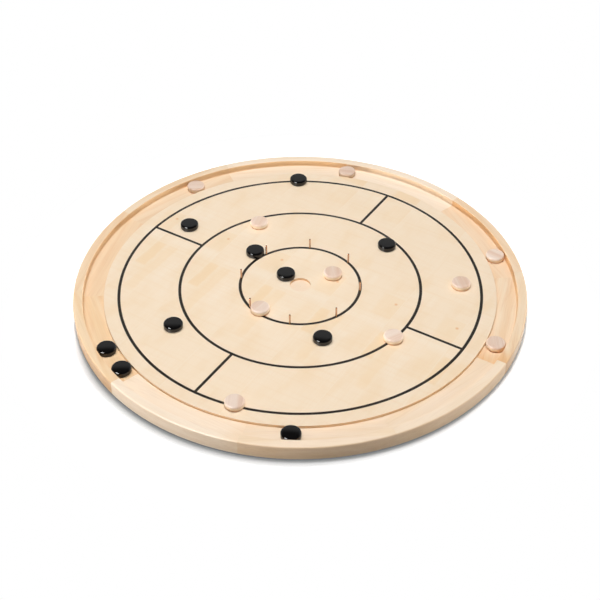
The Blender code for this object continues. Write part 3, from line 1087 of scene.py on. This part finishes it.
@dataclass(frozen=True)
class Studio:
    """White floor, white surroundings and soft lamps at a plain level.

    Each side of the contact shade is a bearing, and how far a place lies towards it, as a cosine,
    to have none and all of the shade. Each edge of the mirrored screen is where it is out, where it
    is full, and what is left of it beyond.
    """

    floor_size: float = 16.0
    floor_gain: float = 1.15
    floor_colour: float = 0.12
    floor_base: float = 0.20
    base_colour: tuple[float, float, float, float] = (0.93, 0.97, 1.0, 1.0)
    shadow_radius: float = 0.42
    white_radius: float = 0.50
    contact_reach: float = 0.023
    contact_power: float = 3.1
    contact_sides: tuple[tuple[float, float, float], ...] = ((275.0, -0.15, 0.25), (205.0, -0.60, 0.95))
    sky_share: float = 0.05
    screen_bearing: float = 77.0
    screen_side: tuple[float, float, float] = (0.15, 0.45, 0.06)
    screen_top: tuple[float, float, float] = (0.50, 0.25, 0.47)
    room_top: tuple[float, float, float] = (0.72, 0.65, 0.08)
    screen_tilt: float = -0.15
    boxes: tuple[SoftBox, ...] = (
        SoftBox("overhead_soft_box", 77.0, 87.0, 4.0, 0.7, 0.7, 0.74),
        SoftBox("high_left_soft_box", 182.0, 64.0, 2.2, 0.7, 0.7, 0.18),
        SoftBox("front_soft_box", 290.0, 24.0, 3.0, 0.9, 0.5, 0.048),
        SoftBox("left_reflector", 186.0, 1.5, 4.0, 1.4, 0.10, 0.0185),
        SoftBox("right_reflector", 347.0, 1.5, 4.0, 1.4, 0.10, 0.0130),
        SoftBox("highlight_lamp", 205.0, 43.0, 2.2, 0.85, 0.40, 0.80, mirrored=True, lighting=False),
    )

    def build(self) -> None:
        """Add the floor, the surroundings and the lamps, and show colours as they are."""
        bpy.context.scene.view_settings.view_transform = "Standard"
        self._lay_floor()
        self._paint_surroundings()
        for box in self.boxes:
            box.hang()

    def _lay_floor(self) -> None:
        """Lay the floor, which the camera sees as white, with the board's shadow close to it."""
        deselect_all()
        bpy.ops.mesh.primitive_plane_add(size=self.floor_size, location=(0, 0, 0))
        floor = bpy.context.object
        floor.name = "studio_floor"
        material, tree = new_tree("white_studio_floor")
        rays = add_node(tree, "LightPath").outputs
        seen: Socket = rays["Is Camera Ray"]
        for kind in ("Is Glossy Ray", "Is Transmission Ray"):
            seen = add_node(tree, "Math", {0: seen, 1: rays[kind]}, operation="MAXIMUM").outputs[0]
        place = add_node(tree, "TexCoord").outputs["Object"]
        shade = self._contact_shade(tree, place)
        colours = {0: shade, MIX_A: grey(0.0), MIX_B: grey(self.floor_gain)}
        bright = add_node(tree, "Mix", colours, data_type="RGBA", clamp_result=False).outputs[MIX_OUT]
        dull = add_node(tree, "BsdfDiffuse", {"Color": grey(self.floor_colour)}).outputs[0]
        shown = add_node(tree, "BsdfDiffuse", {"Color": bright}).outputs[0]
        # An even glow on the floor that the camera sees, which lifts the shade under the rim to grey
        floor_glow = {"Color": self.base_colour, "Strength": self.floor_base}
        base = add_node(tree, "Emission", floor_glow).outputs[0]
        shown = add_node(tree, "AddShader", {0: shown, 1: base}).outputs[0]
        white = add_node(tree, "Emission", {"Color": grey(1.0), "Strength": 1.0}).outputs[0]
        radius = add_node(tree, "VectorMath", {0: place}, operation="LENGTH").outputs["Value"]
        span = {"Value": radius, "From Min": self.shadow_radius, "From Max": self.white_radius}
        far = add_node(tree, "MapRange", span, interpolation_type="SMOOTHSTEP").outputs[0]
        sweep = add_node(tree, "MixShader", {0: far, 1: shown, 2: white}).outputs[0]
        mixed = add_node(tree, "MixShader", {0: seen, 1: dull, 2: sweep}).outputs[0]
        add_node(tree, "OutputMaterial", {"Surface": mixed})
        floor.data.materials.append(material)

    def _contact_shade(self, tree: Tree, place: Socket) -> Socket:
        """Draw the contact shade, which the photograph's white table shows close to the wood.

        The reflectors lighten the shade at both sides, so it is deepest in front.

        Args:
            tree: The floor's node tree.
            place: Places on the floor.

        Returns:
            From 0 under the board to 1 clear of it.
        """
        reach = {"Distance": self.contact_reach}
        closeness = add_node(tree, "AmbientOcclusion", reach, samples=16).outputs["AO"]
        outward = add_node(tree, "VectorMath", {0: place}, operation="NORMALIZE").outputs[0]
        power: Socket | float = self.contact_power
        for bearing, none, full in self.contact_sides:
            sides = {0: outward, 1: polar(1.0, bearing)}
            facing = add_node(tree, "VectorMath", sides, operation="DOT_PRODUCT").outputs["Value"]
            span = {"Value": facing, "From Min": none, "From Max": full}
            part = add_node(tree, "MapRange", span).outputs[0]
            power = add_node(tree, "Math", {0: power, 1: part}, operation="MULTIPLY").outputs[0]
        return add_node(tree, "Math", {0: closeness, 1: power}, operation="POWER").outputs[0]

    def _paint_surroundings(self) -> None:
        """Set a white background, of which gloss shows a screen behind the board and the dark room."""
        world = bpy.data.worlds.new("white_studio")
        bpy.context.scene.world = world
        world.use_nodes = True
        tree = world.node_tree
        tree.nodes.clear()
        rays = add_node(tree, "LightPath").outputs
        toward = add_node(tree, "TexCoord").outputs["Generated"]
        # Gloss shows a grey screen behind the board, with a tilted upper edge, and else the dark room
        sides = {0: toward, 1: polar(1.0, self.screen_bearing)}
        behind = add_node(tree, "VectorMath", sides, operation="DOT_PRODUCT").outputs["Value"]
        rise = {0: toward, 1: (self.screen_tilt, 0.0, 1.0)}
        height = add_node(tree, "VectorMath", rise, operation="DOT_PRODUCT").outputs["Value"]
        mirrored: Socket | float = 1.0
        for coordinate, (outside, inside, least) in (
            (behind, self.screen_side),
            (height, self.screen_top),
            (height, self.room_top),
        ):
            span = {"Value": coordinate, "From Min": outside, "From Max": inside, "To Min": least}
            part = add_node(tree, "MapRange", span, interpolation_type="SMOOTHSTEP").outputs[0]
            mirrored = add_node(tree, "Math", {0: mirrored, 1: part}, operation="MULTIPLY").outputs[0]
        sky, screen, white = (
            add_node(tree, "Background", {"Color": grey(1.0), "Strength": strength}).outputs[0]
            for strength in (self.sky_share, mirrored, 1.0)
        )
        both = {0: rays["Is Glossy Ray"], 1: rays["Is Transmission Ray"]}
        glossy = add_node(tree, "Math", both, operation="MAXIMUM").outputs[0]
        lit = add_node(tree, "MixShader", {0: glossy, 1: sky, 2: screen}).outputs[0]
        seen = add_node(tree, "MixShader", {0: rays["Is Camera Ray"], 1: lit, 2: white}).outputs[0]
        add_node(tree, "OutputWorld", {"Surface": seen})


# Sub-assemblies


def fit(piece: Piece, body: str, node: str) -> None:
    """Hand a finished piece to the frame.

    Args:
        piece: The piece.
        body: The body that it rides on.
        node: The node that it stands for.
    """
    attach(piece, body)
    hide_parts(node)
    LOG.info("%s rides on %s: %d faces", piece.name, body, len(piece.data.polygons))


def set_out(
    blank: Piece, prefix: str, kind: str, count: int, sharp_angle: float, turned: bool = False
) -> None:
    """Copy a blank to each numbered node of a kind, fit the copies and throw the blank away.

    Args:
        blank: The dressed piece, standing on the board's axis at its height.
        prefix: What the copies' names have before the nodes'.
        kind: The nodes' name without the number.
        count: How many nodes there are.
        sharp_angle: The angle in degrees from which an edge stays sharp.
        turned: Whether each copy turns to its own bearing.
    """
    for number in range(1, count + 1):
        middle = node_middle(f"{kind}_{number}")
        turn = bearing_of(middle) if turned else 0.0
        piece = copy_piece(blank, f"{prefix}_{kind}_{number}", turn, (middle.x, middle.y, 0))
        smooth(piece, sharp_angle)
        fit(piece, BOARD, f"{kind}_{number}")
    discard(blank)


@dataclass(frozen=True)
class SegmentTone:
    """The look of one ring segment's piece of maple."""

    pale: str
    warm: str
    streaks: float = 0.5
    heart: float = 0.0
    # Amber on the wall and outer side: partly lacquer uptake, partly painted shade
    wall_amber_and_shade: float = 0.9
    side_amber_and_shade: float = 0.35
    side_amber_and_shade_tint: str = "f7dcb6"
    start_amber: float = 0.0
    end_amber: float = 0.0


@dataclass(frozen=True)
class RingOfSegments:
    """Ten solid maple segments glued end to end, each with ledge, ditch floor, wall and rim."""

    ledge_radius: float = 0.3050
    seat_radius: float = 0.33005
    wall_radius: float = 0.3640
    rim_radius: float = 0.3800
    ledge_top: float = 0.0085
    ditch_floor: float = 0.0158
    cove: float = 0.0025
    rim_round: float = 0.0025
    inner_arris: float = 0.0010
    foot_arris: float = 0.0010
    first_joint: float = 27.0
    segment_angle: float = 36.0
    glue_line: float = 0.006
    steps: int = 30
    sharp_angle: float = 30.0
    mortise_play: float = 0.00015
    # Segments 5 and 9 have darker greyish side tints, which are painted shade on the outer side
    tones: tuple[SegmentTone, ...] = (
        SegmentTone("fbe9d3", "f7e0c4", 0.5, wall_amber_and_shade=0.5),
        SegmentTone("f9e5cd", "f0d4b0", 0.6),
        SegmentTone("f3dbbd", "ebc8a0", 0.6, wall_amber_and_shade=0.7),
        SegmentTone("f3d8b6", "ecc59b", 0.6, wall_amber_and_shade=0.6),
        SegmentTone("f4d8b4", "edc694", 0.6, 0.30, wall_amber_and_shade=0.6, side_amber_and_shade=1.0, side_amber_and_shade_tint="e8d8c8"),
        SegmentTone("fae7d0", "f4dcc0", 0.5, side_amber_and_shade=0.2, end_amber=0.25),
        SegmentTone("f8e2c9", "f0d5b1", 0.6, side_amber_and_shade=0.5),
        SegmentTone("f7e2c9", "f0d6b3", 0.5, side_amber_and_shade=0.5),
        SegmentTone("f5dfc2", "edc9a0", 0.6, 0.45, side_amber_and_shade=0.8, side_amber_and_shade_tint="e9dfd6", start_amber=0.75),
        SegmentTone("f5dabb", "edc9a0", 0.6),
    )

    def build(self) -> None:
        """Model one blank, then copy, mortise, drill and dress the ten segments."""
        low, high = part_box("ring_segment_01")
        blank = self._spin_blank(low.z, high.z)
        for index, tone in enumerate(self.tones):
            number = index + 1
            start = self.first_joint + self.segment_angle * index
            middle = start + self.segment_angle / 2
            name = f"ring_segment_{number:02d}"
            segment = copy_piece(blank, f"maple_{name}", start)
            for joint in (number, number % len(self.tones) + 1):
                carve(segment, self._tenon_cutter(f"loose_tenon_{joint:02d}"))
            if number % 2:
                carve(segment, PanelScrews().cutter(middle, low.z))
            smooth(segment, self.sharp_angle)
            finish = HardwoodFinish(
                name=f"hard_maple_lacquered_{number:02d}",
                grain_bearing=middle + 90.0,
                centre=polar(self.wall_radius, middle, self.ditch_floor),
                half_length=self.wall_radius * math.sin(math.radians(self.segment_angle / 2)),
                seed=number * 1.7,
                **asdict(tone),
            )
            segment.data.materials.clear()
            segment.data.materials.append(finish.make())
            fit(segment, BOARD, name)
        discard(blank)

    def _spin_blank(self, bottom: float, top: float) -> Piece:
        """Spin the ring's section into one segment that starts at bearing 0.

        Args:
            bottom: Height of the ring's underside.
            top: Height of the rim's top.

        Returns:
            The blank segment.
        """
        section = self._draw_section(bottom, top)
        enter_edit(section)
        bpy.ops.mesh.select_mode(type=Pick.FACES.value)
        spin_all(self.steps, math.radians(self.segment_angle - 2 * self.glue_line))
        leave_edit()
        section.name = "ring_blank"
        middle = sum(point.co.y for point in section.data.vertices)
        turn_back = self.glue_line if middle > 0 else self.segment_angle - self.glue_line
        section.rotation_euler = (0, 0, math.radians(turn_back))
        settle(section)
        return section

    def _draw_section(self, bottom: float, top: float) -> Piece:
        """Draw the section in the XZ plane: the ledge strip, drawn out to the rim and then up.

        Args:
            bottom: Height of the ring's underside.
            top: Height of the rim's top.

        Returns:
            One flat face with its corners rounded.
        """
        deselect_all()
        bpy.ops.mesh.primitive_plane_add(size=1.0, location=(0, 0, 0), rotation=(math.pi / 2, 0, 0))
        section = bpy.context.object
        section.scale = (self.seat_radius - self.ledge_radius, self.ledge_top - bottom, 1.0)
        section.location = ((self.seat_radius + self.ledge_radius) / 2, 0, (self.ledge_top + bottom) / 2)
        settle(section)
        enter_edit(section)
        for here, there in ((self.seat_radius, self.wall_radius), (self.wall_radius, self.rim_radius)):
            choose(section, Pick.EDGES, lambda place, here=here: abs(place.x - here) < TOUCH)
            bpy.ops.mesh.extrude_region_move(TRANSFORM_OT_translate={"value": (there - here, 0, 0)})
        for inner, level, rise in (
            (self.seat_radius, self.ledge_top, self.ditch_floor),
            (self.wall_radius, self.ditch_floor, top),
        ):
            choose(
                section,
                Pick.EDGES,
                lambda place, x=inner, z=level: place.x > x - TOUCH and abs(place.z - z) < TOUCH,
            )
            bpy.ops.mesh.extrude_region_move(TRANSFORM_OT_translate={"value": (0, 0, rise - level)})
        choose(section, Pick.FACES, lambda place: True)
        bpy.ops.mesh.dissolve_faces()
        straight = (
            (self.seat_radius, bottom),
            (self.wall_radius, bottom),
            (self.rim_radius, self.ledge_top),
            (self.rim_radius, self.ditch_floor),
        )
        choose(section, Pick.POINTS, lambda place: any(self._at(place, x, z) for x, z in straight))
        bpy.ops.mesh.dissolve_verts()
        for x, z, rounding, steps in (
            (self.rim_radius, top, self.rim_round, 7),
            (self.wall_radius, top, self.inner_arris, 4),
            (self.wall_radius, self.ditch_floor, self.cove, 7),
            (self.rim_radius, bottom, self.foot_arris, 3),
            (self.ledge_radius, bottom, self.foot_arris / 2, 2),
            (self.ledge_radius, self.ledge_top, self.foot_arris / 2, 2),
        ):
            choose(section, Pick.POINTS, lambda place, x=x, z=z: self._at(place, x, z))
            bpy.ops.mesh.bevel(offset=rounding, segments=steps, affect="VERTICES")
        leave_edit()
        return section

    @staticmethod
    def _at(place: Vector, x: float, z: float) -> bool:
        """Say whether a place of the section is at a radius and a height."""
        return abs(place.x - x) < TOUCH and abs(place.z - z) < TOUCH

    def _tenon_cutter(self, node: str) -> Piece:
        """Make a cutter a little larger than a tenon, for its mortise.

        Args:
            node: The tenon's node.

        Returns:
            The cutter, in its place.
        """
        frame_node = bpy.data.objects[node]
        cutter = frame_node.copy()
        cutter.data = frame_node.data.copy()
        cutter.parent = None
        cutter.name = "mortise_cutter"
        for mark in [key for key in cutter.keys() if key.startswith("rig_")]:
            del cutter[mark]
        bpy.context.scene.collection.objects.link(cutter)
        activate(cutter)
        # The frame's stored normals would pass to the segment with the cut and spoil its shading
        bpy.ops.mesh.customdata_custom_splitnormals_clear()
        enter_edit(cutter)
        bpy.ops.mesh.select_all(action="SELECT")
        bpy.ops.mesh.remove_doubles(threshold=WELD)
        bpy.ops.transform.shrink_fatten(value=self.mortise_play)
        leave_edit()
        return cutter


@dataclass(frozen=True)
class LooseTenons:
    """Ten bare beech tenons across the ring's joints, which keep the frame's nodes."""

    count: int = 10
    pale: str = "d9b48a"
    warm: str = "c39a6c"

    def dress(self) -> None:
        """Give each tenon bare beech, with the grain across its joint."""
        for number in range(1, self.count + 1):
            node = bpy.data.objects[f"loose_tenon_{number:02d}"]
            middle = node_middle(node.name)
            finish = HardwoodFinish(
                name=f"bare_beech_{number:02d}",
                pale=self.pale,
                warm=self.warm,
                grain_bearing=bearing_of(middle) + 90.0,
                centre=middle,
                seed=number * 3.1,
                line_depth=0.2,
                roughness=0.65,
                coat=0.0,
            )
            node.data.materials.clear()
            node.data.materials.append(finish.make())
            LOG.info("%s keeps its node", node.name)


@dataclass(frozen=True)
class PlayingPanel:
    """Veneered plywood panel with printed lines, the centre hole and sockets for the posts."""

    radius: float = 0.3300
    arris: float = 0.0006
    line_radii: tuple[float, ...] = (0.3048, 0.2032, 0.1016)
    line_width: float = 0.0050
    quadrant_bearings: tuple[float, ...] = (45.0, 135.0)
    hole_radius: float = 0.017475
    hole_depth: float = 0.0045
    hole_arris: float = 0.0004
    mark_radius: float = 0.0016
    mark_depth: float = 0.0009
    socket_depth: float = 0.0081
    socket_radius: float = 0.00152
    socket_sides: int = 32
    over_run: float = 0.001
    cut_reach: float = 0.012
    sides: int = 240
    sharp_angle: float = 25.0

    def build(self) -> None:
        """Model, dress and fit the panel."""
        low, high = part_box("playing_panel")
        top = high.z
        floor = top - self.hole_depth
        panel = turn_piece("veneered_playing_panel", self._profile(low.z, top), self.sides)
        for finish in (VeneerFinish(), InkFinish(), PlyEdgeFinish(), InnerPlyFinish()):
            panel.data.materials.append(finish.make())
        self._split_quadrant_lines(panel, top)
        self._paint(panel, 1, lambda place: self._inked(place, top))
        self._paint(panel, 2, lambda place: place.z < top - self.hole_arris)
        self._paint(panel, 3, lambda place: self._on_hole_floor(place, floor))
        self._paint(panel, 3, lambda place: abs(place.z - low.z) < TOUCH)
        for number in range(1, Posts.count + 1):
            carve(panel, self._socket_cutter(node_middle(f"post_{number}"), top))
        for number in range(1, PanelScrews.count + 1):
            screw_low, screw_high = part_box(f"panel_screw_{number}")
            carve(panel, PanelScrews().cutter(bearing_of(screw_low + screw_high), screw_low.z))
        smooth(panel, self.sharp_angle)
        fit(panel, BOARD, "playing_panel")

    def _profile(self, bottom: float, top: float) -> list[Corner]:
        """List the panel's corners.

        Args:
            bottom: Height of the underside.
            top: Height of the playing face.

        Returns:
            The profile from the axis below, round the edge, to the hole's floor.
        """
        corners = [Corner(0.0, bottom), Corner(self.radius, bottom)]
        corners += [Corner(self.radius, top, self.arris, 3)]
        half = self.line_width / 2
        for middle in self.line_radii:
            corners += [Corner(middle + half, top), Corner(middle - half, top)]
        floor = top - self.hole_depth
        corners += [Corner(self.hole_radius, top, self.hole_arris, 3), Corner(self.hole_radius, floor)]
        corners += [Corner(self.mark_radius, floor), Corner(0.0, floor - self.mark_depth)]
        return corners

    def _split_quadrant_lines(self, panel: Piece, top: float) -> None:
        """Bisect the face between the middle and outer circles along the quadrant lines' edges.

        Args:
            panel: The panel.
            top: Height of the playing face.
        """
        enter_edit(panel)
        outer = self.line_radii[0] - self.line_width / 2
        inner = self.line_radii[1] + self.line_width / 2
        for bearing in self.quadrant_bearings:
            across = polar(1.0, bearing + 90.0)
            for side in (-1, 1):
                choose(
                    panel,
                    Pick.FACES,
                    lambda place: inner < math.hypot(place.x, place.y) < outer
                    and abs(place.z - top) < TOUCH
                    and abs(place.dot(across)) < self.cut_reach,
                )
                bpy.ops.mesh.bisect(plane_co=across * (side * self.line_width / 2), plane_no=across)
        leave_edit()

    def _inked(self, place: Vector, top: float) -> bool:
        """Say whether a face is on a printed line.

        Args:
            place: The face's middle.
            top: Height of the playing face.

        Returns:
            Whether it is inked.
        """
        if abs(place.z - top) > TOUCH:
            return False
        radius = math.hypot(place.x, place.y)
        if any(abs(radius - line) < self.line_width / 2 for line in self.line_radii):
            return True
        across = min(abs(place.dot(polar(1.0, bearing + 90.0))) for bearing in self.quadrant_bearings)
        return self.line_radii[1] < radius < self.line_radii[0] and across < self.line_width / 2

    def _on_hole_floor(self, place: Vector, floor: float) -> bool:
        """Say whether a face's middle is on the centre hole's floor or its centre mark."""
        inside = math.hypot(place.x, place.y) < self.hole_radius - TOUCH
        return inside and floor - self.mark_depth - TOUCH < place.z < floor + TOUCH

    @staticmethod
    def _paint(panel: Piece, index: int, test: Callable[[Vector], bool]) -> None:
        """Give some of the panel's faces one of its materials.

        Args:
            panel: The panel.
            index: The material's place in the panel's list.
            test: Says whether a face is painted, by its middle.
        """
        enter_edit(panel)
        choose(panel, Pick.FACES, test)
        panel.active_material_index = index
        bpy.ops.object.material_slot_assign()
        leave_edit()

    def _socket_cutter(self, middle: Vector, top: float) -> Piece:
        """Make the drill for a post's socket.

        Args:
            middle: The post's middle.
            top: Height of the playing face.

        Returns:
            The drill, in its place.
        """
        drill = [
            Corner(0.0, top - self.socket_depth),
            Corner(self.socket_radius, top - self.socket_depth),
            Corner(self.socket_radius, top + self.over_run),
            Corner(0.0, top + self.over_run),
        ]
        cutter = turn_piece("socket_cutter", drill, self.socket_sides)
        cutter.location = (middle.x, middle.y, 0)
        settle(cutter)
        return cutter


@dataclass(frozen=True)
class Posts:
    """Eight plated steel pins that stand on the inner circle."""

    radius: float = 0.0015
    tip_round: float = 0.0004
    sides: int = 32
    sharp_angle: float = 40.0
    count: int = 8

    def build(self) -> None:
        """Turn one post, then copy, dress and fit the eight."""
        low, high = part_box("post_1")
        corners = [
            Corner(0.0, low.z),
            Corner(self.radius, low.z, self.tip_round / 2, 2),
            Corner(self.radius, high.z, self.tip_round, 4),
            Corner(0.0, high.z),
        ]
        blank = turn_piece("post_blank", corners, self.sides)
        # The pins' brown-orange colour is a painted reflection of the wooden panel on the plated steel
        blank.data.materials.append(PlatedSteelFinish("nickel_steel_pin_painted_wood_reflection", "d0a88c", 0.20).make())
        set_out(blank, "steel", "post", self.count, self.sharp_angle)


@dataclass(frozen=True)
class PanelScrews:
    """Countersunk steel screws with square sockets, driven up through the ledge."""

    circle_radius: float = 0.3175
    head_radius: float = 0.0034
    head_land: float = 0.0003
    head_height: float = 0.0022
    shank_radius: float = 0.0017
    tip_radius: float = 0.0004
    length: float = 0.012
    tip_length: float = 0.0024
    socket_width: float = 0.0024
    socket_depth: float = 0.0012
    socket_round: float = 0.0002
    clearance: float = 0.0001
    over_run: float = 0.001
    sides: int = 40
    sharp_angle: float = 35.0
    count: int = 5

    def build(self) -> None:
        """Turn one screw, cut its socket, then copy, dress and fit the five."""
        low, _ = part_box("panel_screw_1")
        blank = turn_piece("screw_blank", self._profile(low.z, 0.0), self.sides)
        blank.data.materials.append(PlatedSteelFinish("zinc_plated_steel_screw", "bdbbb0", 0.32).make())
        carve(blank, self._square_punch(low.z))
        set_out(blank, "steel", "panel_screw", self.count, self.sharp_angle, turned=True)

    def _profile(self, bottom: float, grow: float) -> list[Corner]:
        """List the screw's corners.

        Args:
            bottom: Height of the head's face.
            grow: How much larger the profile is than the screw.

        Returns:
            The profile from the head up.
        """
        top = bottom + self.length + grow
        return [
            Corner(0.0, bottom),
            Corner(self.head_radius + grow, bottom),
            Corner(self.head_radius + grow, bottom + self.head_land + grow),
            Corner(self.shank_radius + grow, bottom + self.head_height + grow),
            Corner(self.shank_radius + grow, bottom + self.length - self.tip_length + grow),
            Corner(self.tip_radius + grow, top),
            Corner(0.0, top),
        ]

    def cutter(self, bearing: float, bottom: float) -> Piece:
        """Make the countersunk drill for a screw.

        Args:
            bearing: The screw's bearing.
            bottom: Height of the head's face.

        Returns:
            The drill, in its place.
        """
        corners = self._profile(bottom, self.clearance)
        corners[0] = Corner(0.0, bottom - self.over_run)
        corners[1] = Corner(corners[1].radius, bottom - self.over_run)
        drill = turn_piece("screw_drill", corners, self.sides)
        drill.location = polar(self.circle_radius, bearing)
        settle(drill)
        return drill

    def _square_punch(self, bottom: float) -> Piece:
        """Make the punch for the drive socket, square with slightly rounded corners.

        Args:
            bottom: Height of the head's face.

        Returns:
            The punch, in its place.
        """
        deselect_all()
        size = (self.socket_width, self.socket_width, 2 * self.socket_depth)
        bpy.ops.mesh.primitive_cube_add(size=1.0, location=(0, 0, bottom), scale=size)
        punch = bpy.context.object
        settle(punch)
        enter_edit(punch)
        bpy.ops.mesh.select_mode(type=Pick.EDGES.value)
        shape = bmesh.from_edit_mesh(punch.data)
        for edge in shape.edges:
            edge.select_set(abs(edge.verts[0].co.z - edge.verts[1].co.z) > self.socket_depth)
        shape.select_flush_mode()
        bmesh.update_edit_mesh(punch.data)
        bpy.ops.mesh.bevel(offset=self.socket_round, segments=2, affect="EDGES")
        leave_edit()
        return punch


@dataclass(frozen=True)
class FeltPads:
    """Round felt pads that the board stands on."""

    radius: float = 0.010
    edge_round: float = 0.0006
    sides: int = 48
    sharp_angle: float = 40.0
    count: int = 5

    def build(self) -> None:
        """Shape one pad, then copy, dress and fit the five."""
        low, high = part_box("felt_pad_1")
        corners = [
            Corner(0.0, low.z),
            Corner(self.radius, low.z, self.edge_round, 3),
            Corner(self.radius, high.z, self.edge_round, 3),
            Corner(0.0, high.z),
        ]
        blank = turn_piece("pad_blank", corners, self.sides)
        blank.data.materials.append(FeltFinish().make())
        set_out(blank, "round", "felt_pad", self.count, self.sharp_angle)


@dataclass(frozen=True)
class PlayingDiscs:
    """Ten black and ten natural wooden discs with rounded edges."""

    radius: float = 0.015875
    thickness: float = 0.0095
    top_round: float = 0.0030
    foot_round: float = 0.0017
    sink: float = 0.00025
    sides: int = 72
    sharp_angle: float = 40.0
    count: int = 10
    fair: tuple[str, str] = ("f3dfcf", "e6c5ad")
    plain: tuple[str, str] = ("ebd6c6", "debca4")
    fairer: tuple[int, ...] = (1, 4, 7)
    natural_bearings: tuple[float, ...] = (60, 84, 95, 20, 75, 40, 130, 155, 170, 80)

    def build(self) -> None:
        """Turn one blank, then copy, dress and fit the twenty discs."""
        corners = [
            Corner(0.0, 0.0),
            Corner(self.radius, 0.0, self.foot_round, 5),
            Corner(self.radius, self.thickness, self.top_round, 8),
            Corner(0.0, self.thickness),
        ]
        blank = turn_piece("disc_blank", corners, self.sides)
        lacquer = BlackLacquerFinish().make()
        for number in range(1, self.count + 1):
            self._set_down(blank, f"black_disc_{number:02d}", lacquer)
        for number in range(1, self.count + 1):
            node = f"natural_disc_{number:02d}"
            pale, warm = self.fair if number in self.fairer else self.plain
            finish = HardwoodFinish(
                name=f"pale_beech_lacquered_{number:02d}",
                pale=pale,
                warm=warm,
                grain_bearing=self.natural_bearings[number - 1],
                centre=node_middle(node),
                streaks=0.9,
                seed=number * 2.3 + 11.0,
                line_depth=0.12,
                roughness=0.38,
                foot=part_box(node)[0].z - self.sink,
            )
            self._set_down(blank, node, finish.make())
        discard(blank)

    def _set_down(self, blank: Piece, node: str, material: bpy.types.Material) -> None:
        """Copy the blank to a disc's place, sunk through the frame's running gap, and fit it.

        Args:
            blank: The disc to copy.
            node: The disc's node, which is its body too.
            material: The disc's finish.
        """
        low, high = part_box(node)
        middle = (low + high) / 2
        disc = copy_piece(blank, f"turned_{node}", shift=(middle.x, middle.y, low.z - self.sink))
        smooth(disc, self.sharp_angle)
        disc.data.materials.append(material)
        fit(disc, node, node)


def main() -> None:
    """Load the frame and build the picture around it."""
    logging.basicConfig(level=logging.INFO, format="%(message)s")
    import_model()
    PhotoCamera().place()
    Studio().build()
    RingOfSegments().build()
    LooseTenons().dress()
    PlayingPanel().build()
    Posts().build()
    PanelScrews().build()
    FeltPads().build()
    PlayingDiscs().build()


if __name__ == "__main__":
    main()
